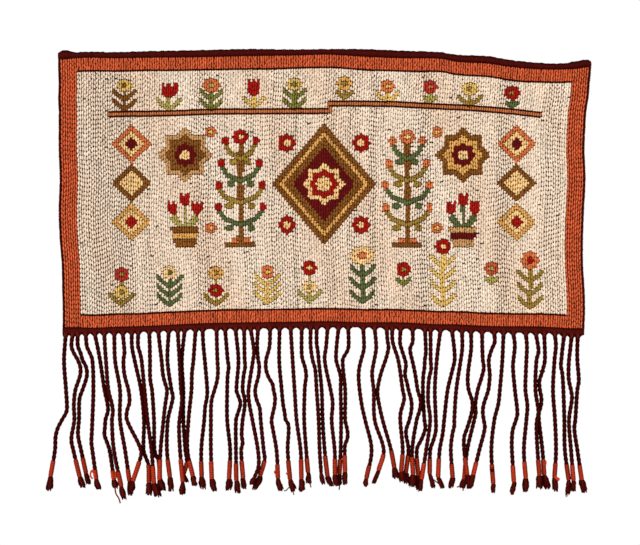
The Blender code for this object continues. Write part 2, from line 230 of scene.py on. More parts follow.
# %% Read between the notes
def along(rows, column, places):
    """Read a table's column on a smooth curve, at places given in its first column."""
    table = np.array(rows, float)
    keys, values = table[:, 0], table[:, column]
    places = np.asarray(places, float)
    index = np.clip(np.searchsorted(keys, places) - 1, 0, len(keys) - 2)
    before = np.maximum(index - 1, 0)
    after = np.minimum(index + 2, len(keys) - 1)
    span = keys[index + 1] - keys[index]
    part = np.clip((places - keys[index]) / span, 0.0, 1.0)
    start_slope = (values[index + 1] - values[before]) / (keys[index + 1] - keys[before]) * span
    end_slope = (values[after] - values[index]) / (keys[after] - keys[index]) * span
    return (
        values[index] * (2 * part**3 - 3 * part**2 + 1)
        + start_slope * (part**3 - 2 * part**2 + part)
        + values[index + 1] * (3 * part**2 - 2 * part**3)
        + end_slope * (part**3 - part**2)
    )


def long_edge(column, share):
    """How far down a long edge lies, at shares of the width from the left."""
    first, last = LONG_EDGES[0][0], LONG_EDGES[-1][0]
    return along(LONG_EDGES, column, first + (last - first) * np.asarray(share, float))


print("middle of the heading:", round(float(long_edge(HEADING_TOP, 0.5)), 2), "mm down")

# %% [markdown]
# ## The hanging surface
# A hung cloth is never flat: it waves out of its plane, a little more towards its foot. Everything
# sewn on it follows that wave. One function therefore turns a share of the width, a drop and a lift
# off the cloth into a place, and every piece below is made through it.

# %% Stand things on the cloth
CLOTH_DROP = 556.0
WAVE_DEPTH = 2.5
BINDING_WIDTH = 4.0
PIECE_GAP = 0.45
NARROWEST_WIDTH = 1043.0
CLOTH_WIDTH = 1046.0
INSET = (BINDING_WIDTH + PIECE_GAP) / NARROWEST_WIDTH


def wave(share, fall):
    """How far the cloth waves out of its flat plane."""
    slow = np.sin(TAU * (1.6 * share + 0.1))
    quick = 0.45 * np.sin(TAU * (3.7 * share + 0.3) + 1.5 * fall)
    return WAVE_DEPTH * (0.45 + 0.55 * fall) * (slow + quick)


def on_cloth(share, drop, lift=0.0):
    """Places on the cloth, in millimetres; lift is how far they stand off its middle to the front."""
    share, drop, lift = np.broadcast_arrays(*(np.asarray(v, float) for v in (share, drop, lift)))
    left, right = along(SIDE_EDGES, 1, drop), along(SIDE_EDGES, 2, drop)
    through = wave(share, np.minimum(drop / CLOTH_DROP, 1.0)) - lift
    return np.stack((left + (right - left) * share, through, -drop), axis=-1)


print("a place near the foot:", on_cloth(0.5, 540.0).round(2))

# %% [markdown]
# ## Shader sums that read like sums
# A wool finish needs a few sums on noise values. Node by node they are hard to read, so a small class
# wraps a socket and turns each Python operator into its Math node. A second class holds a finish
# and makes any other node from its type, its settings and what feeds its sockets.

# %% Wrap a socket
class Value:
    """A socket that takes part in sums."""

    def __init__(self, tree, socket):
        self.tree = tree
        self.socket = socket

    def sum(self, operation, first, second):
        node = self.tree.nodes.new("ShaderNodeMath")
        node.operation = operation
        for place, part in zip(node.inputs, (first, second)):
            if isinstance(part, Value):
                self.tree.links.new(part.socket, place)
            else:
                place.default_value = part
        return Value(self.tree, node.outputs[0])

    def __add__(self, other):
        return self.sum("ADD", self, other)

    def __radd__(self, other):
        return self.sum("ADD", other, self)

    def __sub__(self, other):
        return self.sum("SUBTRACT", self, other)

    def __rsub__(self, other):
        return self.sum("SUBTRACT", other, self)

    def __mul__(self, other):
        return self.sum("MULTIPLY", self, other)

    def __rmul__(self, other):
        return self.sum("MULTIPLY", other, self)


print("sums: +, - and *")

# %% Hold a finish
class Finish:
    """A material whose constant sockets are set at once and whose nodes come from one method."""

    def __init__(self, name, **constants):
        self.material = bpy.data.materials.new(name)
        self.material.use_nodes = True
        self.tree = self.material.node_tree
        self.shader = self.tree.nodes["Principled BSDF"]
        for socket, value in constants.items():
            self.shader.inputs[socket.replace("_", " ")].default_value = value

    def node(self, kind, settings, sockets, output=0):
        """Make a node: its settings first, then the values or links of its sockets."""
        node = self.tree.nodes.new("ShaderNode" + kind)
        for name, value in settings.items():
            if name == "stops":
                for stop, (place, colour) in zip(node.color_ramp.elements, value):
                    stop.position = place
                    stop.color = (*colour, 1.0)
            else:
                setattr(node, name, value)
        for place, value in sockets.items():
            self.feed(node.inputs[place], value)
        return Value(self.tree, node.outputs[output])

    def feed(self, place, value):
        """Link a value to a socket, or set the socket."""
        if isinstance(value, Value):
            self.tree.links.new(value.socket, place)
        else:
            place.default_value = value

    def shade(self, **sockets):
        """Feed what varies into the shader."""
        for socket, value in sockets.items():
            self.feed(self.shader.inputs[socket.replace("_", " ")], value)


print("a finish is a material with one node maker")

# %% [markdown]
# ## Wool
# Wool is dyed by the lot, so each stitch has its own even tone, and within a stitch fine fibres run
# along the yarn with darker hollows between them. A picture of wool would show the same fibres
# on every stitch. Instead each point carries its yarn's colour, with the painted shade and highlights
# that many pieces below add to it, and noise that is drawn out along the yarn darkens it and raises
# a slight fuzz. The scale is the real one: fibres about a third of a millimetre wide.

# %% Mix the wool finish
def wool_finish(name, stretch, depth, fuzz, roughness=0.92):
    """A wool that takes its colour, its dye with any painted shade or highlight, from the points; stretch
    draws the fibres out along each axis.
    """
    finish = Finish(name, Roughness=roughness)
    finish.shader.inputs["Specular IOR Level"].default_value = 0.0
    # The points' "yarn" colour holds the dye together with any painted shade or highlight.
    dyed = finish.node("Attribute", {"attribute_name": "yarn"}, {}, output="Color")
    places = finish.node("TexCoord", {}, {}, output="Object")
    drawn = finish.node("VectorMath", {"operation": "MULTIPLY"}, {0: places, 1: stretch})
    fibre = finish.node("TexNoise", {}, {"Vector": drawn, "Scale": 1.0, "Detail": 3.0, "Roughness": 0.6})
    cloud = finish.node("TexNoise", {}, {"Vector": places, "Scale": 55.0, "Detail": 2.0})
    shade = 1.0 - depth * (1.0 - fibre) - 0.22 * (0.5 - cloud)
    worn = finish.node(
        "Mix", {"data_type": "RGBA", "blend_type": "MULTIPLY"}, {0: 1.0, 6: dyed, 7: shade}, output=2
    )
    bump = finish.node("Bump", {}, {"Strength": fuzz, "Distance": 0.0004, "Height": fibre})
    finish.shade(Base_Color=worn, Roughness=roughness - 0.1 * fibre, Normal=bump)
    return finish.material


stitch_wool = wool_finish("stitch_wool", (2600.0, 2600.0, 420.0), 0.45, 0.5)
wrapped_wool = wool_finish("wrapped_wool", (520.0, 2400.0, 2400.0), 0.5, 0.5, 0.88)
twisted_wool = wool_finish("twisted_wool", (2400.0, 2400.0, 500.0), 0.5, 0.5, 0.86)
sewing_thread = wool_finish("sewing_thread", (900.0, 2600.0, 3200.0), 0.3, 0.3, 0.7)
print("finishes:", len(bpy.data.materials))

# %% [markdown]
# ## From points to a piece
# Thousands of stitches would be slow to add as objects, so each group is one mesh built from arrays.
# The maker below also gives the piece a flat map for its bake: the front is laid out as it hangs,
# and the back beside it, or shrunk away where a stitch's underside can't be seen.

# %% Lay a piece flat
def lay_flat(mesh, both_sides):
    """Map the mesh as it hangs, front and back apart."""
    corners = np.empty(len(mesh.loops), np.int32)
    mesh.loops.foreach_get("vertex_index", corners)
    places = np.empty(len(mesh.vertices) * 3, np.float32)
    mesh.vertices.foreach_get("co", places)
    places = places.reshape(-1, 3)[:, (0, 2)]
    low, high = places.min(0), places.max(0)
    flat = (0.01 + 0.98 * (places - low) / (high - low))[corners]
    normals = np.empty(len(mesh.polygons) * 3, np.float32)
    mesh.polygons.foreach_get("normal", normals)
    totals = np.empty(len(mesh.polygons), np.int32)
    mesh.polygons.foreach_get("loop_total", totals)
    behind = np.repeat(normals.reshape(-1, 3)[:, 1] > 0.0, totals)
    if both_sides:
        flat[:, 1] = flat[:, 1] * 0.49 + np.where(behind, 0.505, 0.0)
    else:
        flat[behind] = 0.002
    layer = mesh.uv_layers.new(name="OFBake")
    layer.data.foreach_set("uv", flat.astype(np.float32).ravel())


print("one flat map for each piece")

# %% Make a piece from arrays
def place_object(name, data):
    """Set a mesh, a lamp or a camera in the scene."""
    placed = bpy.data.objects.new(name, data)
    bpy.context.scene.collection.objects.link(placed)
    return placed


def make_piece(name, points, faces, dyes_and_shade, finish, both_sides=True):
    """Build a mesh from millimetre points, colour its points with their dye and any painted shade or
    highlight, and set it on the hanging.
    """
    mesh = bpy.data.meshes.new(name)
    mesh.from_pydata((np.asarray(points) * MM).tolist(), [], faces)
    mesh.shade_smooth()
    mesh.update()
    yarn = mesh.color_attributes.new("yarn", "FLOAT_COLOR", "POINT")
    dyed = np.ones((len(mesh.vertices), 4), np.float32)
    dyed[:, :3] = dyes_and_shade
    yarn.data.foreach_set("color", dyed.ravel())
    lay_flat(mesh, both_sides)
    mesh.materials.append(finish)
    piece = place_object(name, mesh)
    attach(piece, "root")
    triangles = sum(len(face) - 2 for face in faces)
    print(f"{name}: {len(points)} points, {triangles} triangles")
    return piece


# %% [markdown]
# ## Dye lots
# The yarns are few: a cream ground, the orange of the border, and browns, golds, reds and greens for
# the motifs. Each is noted as a screen would show it and turned into the linear colour that shaders
# work in.

# %% Dye the yarns
def dye(red, green, blue):
    """A screen colour as a linear one."""
    parts = np.array((red, green, blue)) / 255.0
    return np.where(parts > 0.04045, ((parts + 0.055) / 1.055) ** 2.4, parts / 12.92)


YARNS = {
    "cream": dye(238, 219, 197),
    "orange": dye(214, 114, 74),
    "bar_brown": dye(198, 132, 86),
    "pale_gold": dye(240, 198, 136),
    "gold": dye(218, 164, 90),
    "tan": dye(200, 152, 100),
    "rust": dye(211, 115, 66),
    "red": dye(165, 27, 21),
    "crimson": dye(183, 55, 48),
    "dark_red": dye(104, 20, 22),
    "brown": dye(132, 82, 35),
    "green": dye(91, 104, 62),
    "light_green": dye(173, 158, 87),
    "olive": dye(156, 126, 55),
    "yellow": dye(224, 186, 105),
    "moss": dye(126, 124, 58),
    "brick": dye(190, 86, 52),
}
YARN_NAMES = list(YARNS)
CREAM = YARN_NAMES.index("cream")
YARN_DYES = np.array(list(YARNS.values()))
GROUND_DYE = dye(62, 30, 18)
DARK_DYE = dye(62, 9, 7)
# The root colour is lighter than the cords' dye as a painted highlight, and the thread's second colour is
# the painted shade on a whipping's flanks.
ROOT_DYE_AND_HIGHLIGHT = dye(90, 28, 20)
THREAD_DYE = dye(192, 59, 32)
THREAD_SHADE = dye(118, 12, 5)
TUFT_DYE = dye(83, 18, 12)
print(len(YARNS), "yarns")

# %% [markdown]
# ## Columns of stitches
# The face is worked in upright columns, about 4.7 mm apart, with seven columns in each side border.
# Hand work is never quite even, so the columns' widths wander a little, and some lie looser
# than others, which lets dark slits show. The loosest lie a little in from the left border. The weave
# could be a texture, but then no stitch would catch the light; here each one is a small bead of yarn.

# %% Space the columns
COLUMN_COUNT = 222
BORDER_COLUMNS = 7
LOOSEST_COLUMN, LOOSE_SPREAD = 16, 9.0
chance = np.random.default_rng(11)


def drift(places, length, rng):
    """A slow wander between -1 and 1 along a line, with swings about as long as length."""
    swing = np.zeros(np.shape(places))
    for part in (1.0, 1.7, 2.9):
        swing += np.sin(places * TAU * part / length + rng.uniform(0.0, TAU)) / 3.0
    return swing


column_widths = 1.0 + 0.05 * chance.standard_normal(COLUMN_COUNT)
column_widths[:BORDER_COLUMNS] *= 0.96
column_widths[-BORDER_COLUMNS:] *= 0.96
column_edges = np.concatenate(([0.0], np.cumsum(column_widths)))
column_edges = INSET + (1.0 - 2.0 * INSET) * column_edges / column_edges[-1]
column_shares = (column_edges[:-1] + column_edges[1:]) / 2.0
column_halves = np.diff(column_edges) / 2.0 * CLOTH_WIDTH
column_numbers = np.arange(COLUMN_COUNT)
in_side_border = (column_numbers < BORDER_COLUMNS) | (column_numbers >= COLUMN_COUNT - BORDER_COLUMNS)
looseness = 0.5 + 0.9 * drift(column_numbers, 31.0, chance) + 0.3 * chance.standard_normal(COLUMN_COUNT)
loosest = np.exp(-(((column_numbers - LOOSEST_COLUMN) / LOOSE_SPREAD) ** 2))
looseness = np.clip(looseness + 1.1 * loosest, 0.0, 1.25) + 0.4 * loosest
print("column width:", round(float(2 * column_halves.mean()), 2), "mm")

# %% [markdown]
# ## The chart
# The design is charted as masks over a fine grid: one line of places down each column, 1.5 mm apart.
# A painter's order applies, so what is painted last lies on top. Every motif is a plain shape in
# millimetres, which keeps it clear of the grid until the stitches are cut.

# %% Lay out the chart
CHART_STEP = 1.5
CHART_ROWS = 372
BORDER_HEIGHT = 26.0
FOOT_BORDER_HEIGHT = 25.5
SIDE_ZONE, HEAD_ZONE, FIELD_ZONE, BAR_ZONE, FOOT_ZONE = range(5)

column_tops = long_edge(HEADING_FOOT, column_shares) - 0.5
column_feet = long_edge(CLOTH_FOOT, column_shares) + 0.5
chart_drops = column_tops[:, None] + (np.arange(CHART_ROWS)[None, :] + 0.5) * CHART_STEP
chart_places = on_cloth(column_shares[:, None], chart_drops)
across, drop = chart_places[..., 0], chart_drops
zones = np.full(across.shape, FIELD_ZONE)
chart = np.full(across.shape, CREAM)
field_tops = column_tops + BORDER_HEIGHT + 0.7 * drift(column_numbers, 60.0, chance)
field_feet = column_feet - FOOT_BORDER_HEIGHT + 0.5 * drift(column_numbers, 47.0, chance)


def paint(mask, yarn, zone=None):
    """Work the masked places in a yarn."""
    chart[mask] = YARN_NAMES.index(yarn)
    if zone is not None:
        zones[mask] = zone


paint(drop < field_tops[:, None], "orange", HEAD_ZONE)
paint(drop > field_feet[:, None], "orange", FOOT_ZONE)
paint(np.broadcast_to(in_side_border[:, None], across.shape), "orange", SIDE_ZONE)
print("chart:", chart.shape)

# %% [markdown]
# ## Plain shapes for the chart
# Five shapes make every motif: an oval, a strip with round ends, a lozenge, an eight-pointed star and a
# block. Leaves are strips that bend once, and a head is eight shallow petals round an oval heart. Each
# shape is a mask, so it can be laid over another and cut by the columns later.

# %% Shape the masks
def oval(centre, half_width, half_height):
    return ((across - centre[0]) / half_width) ** 2 + ((drop - centre[1]) / half_height) ** 2 < 1.0


def strip(start, end, width):
    """Places within half the width of a straight line."""
    run = np.subtract(end, start)
    part = ((across - start[0]) * run[0] + (drop - start[1]) * run[1]) / max(run @ run, 1e-9)
    part = np.clip(part, 0.0, 1.0)
    return np.hypot(across - start[0] - part * run[0], drop - start[1] - part * run[1]) < width / 2


def lozenge(centre, half_width, half_height):
    return abs(across - centre[0]) / half_width + abs(drop - centre[1]) / half_height < 1.0


def star(centre, reach):
    """A square and the same square on its point."""
    aside, above = abs(across - centre[0]), abs(drop - centre[1])
    return (np.maximum(aside, above) < 0.7 * reach) | (aside + above < reach)


def block(left, right, top, foot):
    return (across > left) & (across < right) & (drop > top) & (drop < foot)


print("shapes: oval, strip, lozenge, star, block")

# %% Draw leaves and daisies
LEAF_WIDTH = 7.8
PETALS = 8
HEART_SHARE = 0.38
LEAST_HEART = 4.6


def draw_leaves(stem, tips, reach, yarn):
    """Pairs of leaves that leave the stem low and turn up to their tips."""
    for tip in tips:
        for side in (-1, 1):
            bend = (stem + side * reach * 0.62, tip + reach * 0.5)
            paint(strip((stem, tip + reach * 0.95), bend, LEAF_WIDTH), yarn)
            paint(strip(bend, (stem + side * (reach - 1), tip + 3), LEAF_WIDTH), yarn)


def draw_daisy(centre, half_width, half_height, petals, heart):
    """A head of shallow petals with a heart."""
    around = np.arctan2(drop - centre[1], across - centre[0])
    reach = np.hypot((across - centre[0]) / half_width, (drop - centre[1]) / half_height)
    paint(reach < 1.03 + 0.06 * np.cos(PETALS * around), petals)
    halves = (half_width, half_height)
    heart_width, heart_height = (max(half * HEART_SHARE, LEAST_HEART) for half in halves)
    paint(oval(centre, heart_width, heart_height), heart)


def draw_flower(stem, foot, head, half_width, half_height, petals, heart, leaf, tips, reach, wide):
    """A daisy on a leafy stem."""
    paint(strip((stem, foot - 4), (stem, head), wide), leaf)
    draw_leaves(stem, tips, reach, leaf)
    draw_daisy((stem, head), half_width, half_height, petals, heart)


print("leaf width:", LEAF_WIDTH, "mm")

# %% Draw a tulip
POINT_PLACE, POINT_WIDTH, POINT_DEPTH = 0.45, 0.16, 7.0


def draw_tulip(centre, width, top, foot, petals):
    """A cup with three points."""
    aside = abs(across - centre) / (width / 2)
    between = abs(aside - POINT_PLACE) < POINT_WIDTH
    points = top + np.where(between, POINT_DEPTH, 1.5 * (1.0 - aside))
    middle = top + (foot - top) * 0.55
    below = np.clip((drop - middle) / (foot - middle), 0.0, 1.0)
    paint((drop > points) & (drop < foot) & (aside < np.sqrt(1.0 - below**2)), petals)


print("depth between a tulip's points:", POINT_DEPTH, "mm")

# %% [markdown]
# ## The bar and the row above it
# A plain brown bar crosses the field under the top row of flowers. It is one row of short stitches,
# with a step near the middle. Ten flowers stand on it, two tulips among eight daisies, each
# with its own yarns. A table holds them, since each differs from the next only in its measures.

# %% Chart the bar
BAR_HEIGHT = 9.0
BAR_END = 434
STEP_LEFT, STEP_RIGHT, STEP_TOP, STEP_FOOT = 7, 16, 104.5, 128.5
BAR_LEFT = (
    # across, top
    (-434, 126),
    (-310, 124),
    (-225, 121),
    (-140, 120.5),
    (7, 119.5),
)
BAR_RIGHT = (
    # across, top
    (7, 104.5),
    (127, 105.5),
    (212, 109.5),
    (292, 113.5),
    (376, 120.5),
    (434, 127.5),
)
for rows, start, end in ((BAR_LEFT, -BAR_END, STEP_RIGHT), (BAR_RIGHT, STEP_LEFT, BAR_END)):
    top = along(rows, 1, across)
    paint(block(start, end, top, top + BAR_HEIGHT), "bar_brown", BAR_ZONE)
paint(block(STEP_LEFT, STEP_RIGHT, STEP_TOP, STEP_FOOT), "bar_brown", BAR_ZONE)
print("places in the bar:", int((zones == BAR_ZONE).sum()))

# %% Chart the top row
TOP_STEM_WIDTH = 7.5
TOP_DAISIES = (
    # stem, foot, head, half_width, half_height, petals, heart, leaf_yarn, leaf_tips, reach
    (-399, 122, 73, 15, 12, "yellow", "brown", "brown", (81, 100), 22),
    (-225, 119, 73, 16.5, 13.5, "rust", "light_green", "moss", (81, 100), 22),
    (-59, 117, 71, 15, 12, "yellow", "moss", "moss", (79, 98), 22),
    (41, 101, 69, 15, 14, "gold", "olive", "olive", (83,), 16),
    (127, 102, 75, 14, 12, "rust", "yellow", "yellow", (84,), 23),
    (212, 106, 76, 14.5, 12.5, "crimson", "rust", "light_green", (94,), 13),
    (292, 110, 80, 16, 12.5, "yellow", "olive", "olive", (92,), 23),
    (376, 117, 88, 15.5, 13, "red", "olive", "green", (106,), 11),
)
TOP_TULIPS = (
    # stem, foot, width, head_top, head_foot, petals, leaf_yarn, leaf_tips, reach
    (-310, 122, 32, 68, 97, "red", "light_green", (98,), 24),
    (-140, 118, 27, 60, 94, "red", "yellow", (96,), 20),
)
for row in TOP_DAISIES:
    draw_flower(*row, TOP_STEM_WIDTH)
for stem, foot, width, head_top, head_foot, petals, leaf, tips, reach in TOP_TULIPS:
    paint(strip((stem, foot - 4), (stem, head_foot - 6), 8.5), leaf)
    draw_leaves(stem, tips, reach, leaf)
    draw_tulip(stem, width, head_top, head_foot, petals)
print("flowers on the bar:", len(TOP_DAISIES) + len(TOP_TULIPS))

# %% [markdown]
# ## The row along the foot
# Ten flowers stand over the bottom border. Five are tall, with one head over three or four pairs of
# leaves. Two are small, and three carry a second head below the first.

# %% Chart the foot row
FOOT_FLOWERS = (
    # stem, foot, head, half_width, half_height, petals, heart, leaf_yarn, leaf_tips, reach, stem_width
    (-405, 517, 451, 14.5, 13, "crimson", "olive", "olive", (488,), 24, 6),
    (-309, 513, 447, 14, 13, "pale_gold", "green", "green", (452, 470, 488), 25, 8),
    (-216, 512, 448, 14.5, 13, "gold", "olive", "olive", (488,), 24, 6),
    (-113, 507, 446, 13, 13, "rust", "yellow", "yellow", (449, 466, 484), 25, 8),
    (-29, 511, 438, 14, 14, "red", "yellow", "light_green", (482,), 23, 6),
    (77, 506, 413, 24, 18, "pale_gold", "rust", "green", (432, 457, 483), 24, 9),
    (159, 474, 441, 14, 14, "red", "olive", "moss", (458,), 13, 6),
    (238, 511, 395, 15, 15, "red", "pale_gold", "yellow", (412, 437, 463, 490), 24, 10),
    (335, 471, 439, 13, 13, "brick", "light_green", "light_green", (456,), 12, 6),
    (412, 518, 423, 17, 18, "rust", "red", "olive", (443, 468, 494), 24, 9),
)
SECOND_HEADS = (
    # stem, head, half_width, half_height, petals, heart
    (-405, 486, 14.5, 12.5, "yellow", "olive"),
    (-216, 483, 14, 12, "red", "olive"),
    (-29, 476, 15, 11, "pale_gold", "light_green"),
)
for row in FOOT_FLOWERS:
    draw_flower(*row)
for stem, head, *rest in SECOND_HEADS:
    draw_daisy((stem, head), *rest)
print("flowers along the foot:", len(FOOT_FLOWERS))

# %% [markdown]
# ## The middle of the field
# The middle holds a generic design in the same yarns: eight-pointed stars, stepped lozenges, leafy
# trees and potted plants, set out evenly to both sides of a central medallion. Such motifs are common
# to flat weaves everywhere. They share the flowers' shapes, so the whole field stays of one hand.

# %% Draw a medallion and its stars
def draw_nest(shape, centre, sizes, yarns):
    """One shape inside another, each in its own yarn."""
    for size, yarn in zip(sizes, yarns):
        paint(shape(centre, *size), yarn)


MIDDLE = 270
POT_ASIDE = 278
medallion_sizes = ((104, 122), (90, 106), (80, 94), (62, 74))
draw_nest(lozenge, (0, MIDDLE), medallion_sizes, ("brown", "gold", "brown", "dark_red"))
draw_nest(star, (0, MIDDLE), ((44,), (31,), (18,)), ("pale_gold", "red", "pale_gold"))
for side in (-1, 1):
    for height in (188, 352):
        draw_nest(star, (side * 74, height), ((20,), (9,)), ("red", "pale_gold"))
for side, outer, inner in ((-1, "tan", "brown"), (1, "brown", "gold")):
    centre = (side * POT_ASIDE, 212)
    draw_nest(star, centre, ((56,), (42,), (25,), (12,)), (outer, inner, "dark_red", "pale_gold"))
print("places worked in motifs so far:", int((chart[zones == FIELD_ZONE] != CREAM).sum()))

# %% Draw the trees
def draw_tree(stem, foot, top, leaf, second_leaf, fruit):
    """A trunk on a stepped mound, with pairs of upturned boughs that end in fruit."""
    paint(block(stem - 30, stem + 30, foot - 9, foot), "brown")
    paint(block(stem - 19, stem + 19, foot - 18, foot - 8), "rust")
    paint(strip((stem, foot - 14), (stem, top + 12), 11), "brown")
    for level, reach in enumerate((44, 44, 38, 30)):
        root = foot - 44 - 44 * level
        yarn = (leaf, second_leaf)[level % 2]
        for side in (-1, 1):
            bend = (stem + side * reach * 0.7, root - 12)
            tip = (stem + side * reach, root - 30)
            paint(strip((stem, root), bend, 9), yarn)
            paint(strip(bend, tip, 9), yarn)
            paint(oval((stem + side * reach * 0.5, root + 6), 9, 6), yarn)
            paint(oval((tip[0], tip[1] - 6), 7.5, 8), fruit)
    draw_daisy((stem, top), 15, 14, fruit, "pale_gold")


GROUND_LINE = 396
TREE_ASIDE, TREE_TOP = 167, 176
draw_tree(-TREE_ASIDE, GROUND_LINE, TREE_TOP, "green", "olive", "red")
draw_tree(TREE_ASIDE, GROUND_LINE, TREE_TOP, "olive", "green", "rust")
print("places worked, with the trees:", int((chart[zones == FIELD_ZONE] != CREAM).sum()))

# %% Draw the pots and the side chains
def draw_pot(centre, foot, clay, band, petals, leaf):
    """A pot of three tulips."""
    for lean, head in ((-24, 316), (0, 300), (24, 316)):
        paint(strip((centre, foot - 34), (centre + lean, head + 12), 6.5), leaf)
        draw_tulip(centre + lean, 20, head - 12, head + 14, petals)
    draw_leaves(centre, (336,), 26, leaf)
    slope = (foot - drop) * 0.22
    pot = (abs(across - centre) < 20 + slope) & (drop > foot - 40) & (drop < foot)
    paint(pot, clay)
    paint(pot & (drop > foot - 28) & (drop < foot - 16), band)


CHAIN_ASIDE, CHAIN_TOP, CHAIN_PITCH = 385, 190, 78
DAISY_ASIDE = 226
draw_pot(-POT_ASIDE, GROUND_LINE, "brown", "gold", "red", "light_green")
draw_pot(POT_ASIDE, GROUND_LINE, "tan", "dark_red", "red", "green")
CHAIN_YARNS = (("rust", "dark_red"), ("brown", "pale_gold"), ("gold", "red"))
for side in (-1, 1):
    for step, (outer, inner) in enumerate(CHAIN_YARNS):
        centre = (side * CHAIN_ASIDE, CHAIN_TOP + CHAIN_PITCH * step)
        draw_nest(lozenge, centre, ((40, 38), (27, 26), (13, 13)), (outer, "pale_gold", inner))
    for height in (166, 358):
        draw_daisy((side * DAISY_ASIDE, height), 11, 10, "rust", "yellow")
motif_share = float((chart[zones == FIELD_ZONE] != CREAM).mean())
print("share of the field that is worked in motifs:", round(motif_share, 3))

# %% [markdown]
# ## Cutting the columns into stitches
# A needle starts a new stitch where the yarn changes, and otherwise after about nine millimetres.
# Every other column is set half a stitch lower, which gives the field its brick pattern. Very short
# runs of a yarn are taken into the one before, as a maker would.

# %% Find where the yarn changes
SHORTEST_RUN = 4.0
ZONE_CODE = 100


def yarn_runs(column):
    """The runs of one yarn and zone down a column: (top, foot, zone, yarn)."""
    inside = drop[column] < column_feet[column]
    codes = (zones[column] * ZONE_CODE + chart[column])[inside]
    starts = np.concatenate(([0], np.flatnonzero(np.diff(codes)) + 1, [len(codes)]))
    runs = []
    for first, last in zip(starts, starts[1:]):
        top, foot = column_tops[column] + first * CHART_STEP, column_tops[column] + last * CHART_STEP
        if last == len(codes):
            foot = column_feet[column]
        zone, yarn = divmod(int(codes[first]), ZONE_CODE)
        if runs and (foot - top < SHORTEST_RUN or (zone, yarn) == tuple(runs[-1][2:])):
            runs[-1][1] = foot
        else:
            runs.append([top, foot, zone, yarn])
    return runs


print("runs of yarn down the middle column:", len(yarn_runs(COLUMN_COUNT // 2)))

# %% Cut the stitches
SHORTEST_STITCH = 3.2
LINE_GAP = 0.9
YARN_GAP = 0.55
MOST_STITCHES = 80
STITCH_ROW = (
    # zone, stitch length, half-drop share
    (SIDE_ZONE, 9.2, 0.5),
    (HEAD_ZONE, 8.0, 0.5),
    (FIELD_ZONE, 9.0, 0.5),
    (BAR_ZONE, 30.0, 0.0),
    (FOOT_ZONE, 8.4, 0.5),
)


def cut_column(column, rng):
    """The stitches of one column: (column, top, foot, zone, yarn)."""
    stitches = []
    runs = yarn_runs(column)
    slack = 1.0 + 0.025 * rng.standard_normal()
    free_start = rng.uniform(0.0, 1.0)
    for number, (top, foot, zone, yarn) in enumerate(runs):
        length, half_drop = STITCH_ROW[zone][1] * slack, STITCH_ROW[zone][2]
        start = column_tops[column] + (half_drop * (column % 2) + 0.12 * free_start) * length
        if zone in (HEAD_ZONE, FOOT_ZONE):
            start += free_start * 0.5 * length
        marks = start + length * np.arange(MOST_STITCHES)
        marks = marks[(marks > top + SHORTEST_STITCH) & (marks < foot - SHORTEST_STITCH)]
        marks = marks + rng.uniform(-0.7, 0.7, len(marks))
        if number:
            top += LINE_GAP if runs[number - 1][2] != zone else YARN_GAP
        if number + 1 < len(runs):
            foot -= LINE_GAP if runs[number + 1][2] != zone else YARN_GAP
        cuts = [top, *marks, foot]
        stitches += [(column, high, low, zone, yarn) for high, low in zip(cuts, cuts[1:])]
    return stitches


cutting = np.random.default_rng(23)
stitches = np.array([row for column in range(COLUMN_COUNT) for row in cut_column(column, cutting)])
print("stitches:", len(stitches))

# %% [markdown]
# ## A bead of yarn
# A stitch is a short length of thick yarn that dives into the cloth at both ends. A swept tube would
# cost far more than the half that shows, so each stitch is an arch of four rings and two tips, 32
# triangles in all. One flank draws in at both ends, as yarn does under a slanting pull, and that
# opens the small dark dots between the columns. Where the yarn dives its colour is painted darker and
# warmer as shade, and more so in the borders and the bar, where the stitches stand closest and their
# flanks get painted shade too.

# %% Shape the bead
RING_ACROSS = np.array((-1.0, -0.62, 0.0, 0.62, 1.0))
RING_LIFT = np.array((0.22, 0.8, 1.0, 0.8, 0.22))
SIDES = len(RING_ACROSS)
BEAD_RINGS = (
    # along, height
    (-1.0, 0.93),
    (-0.5, 1.0),
    (0.5, 1.0),
    (1.0, 0.93),
)
TIP_REACH = 0.56
TIP_LIFT = 0.6

bead_ring = np.concatenate([np.full(SIDES, ring[0]) for ring in BEAD_RINGS] + [[0.0, 0.0]])
bead_tip = np.array([0.0] * (len(BEAD_RINGS) * SIDES) + [-1.0, 1.0])
bead_across = np.concatenate([RING_ACROSS] * len(BEAD_RINGS) + [[0.0, 0.0]])
bead_lift = np.concatenate([RING_LIFT * ring[1] for ring in BEAD_RINGS] + [[TIP_LIFT, TIP_LIFT]])
bead_pull = np.maximum(abs(bead_ring) - 0.5, 0.0) / 0.5 * (0.4 + 1.4 * np.maximum(-bead_across, 0.0))


def bead_faces():
    """The faces of one bead, as rows of point numbers."""
    faces = []
    last = (len(BEAD_RINGS) - 1) * SIDES
    top, foot = last + SIDES, last + SIDES + 1
    for side in range(SIDES - 1):
        for start in range(side, last, SIDES):
            faces.append((start, start + SIDES, start + SIDES + 1, start + 1))
        faces.append((top, side, side + 1))
        faces.append((foot, last + side + 1, last + side))
    return faces


BEAD_FACES = bead_faces()
BEAD_POINTS = len(bead_across)
print("triangles in a bead:", sum(len(face) - 2 for face in BEAD_FACES))

# %% Give each stitch its character
STITCH_HEIGHT = 2.05
STITCH_BASE = 0.35
column, top, foot, zone, yarn = (stitches[:, place] for place in range(5))
column, zone, yarn = column.astype(int), zone.astype(int), yarn.astype(int)
count = len(stitches)
shape = np.random.default_rng(37)

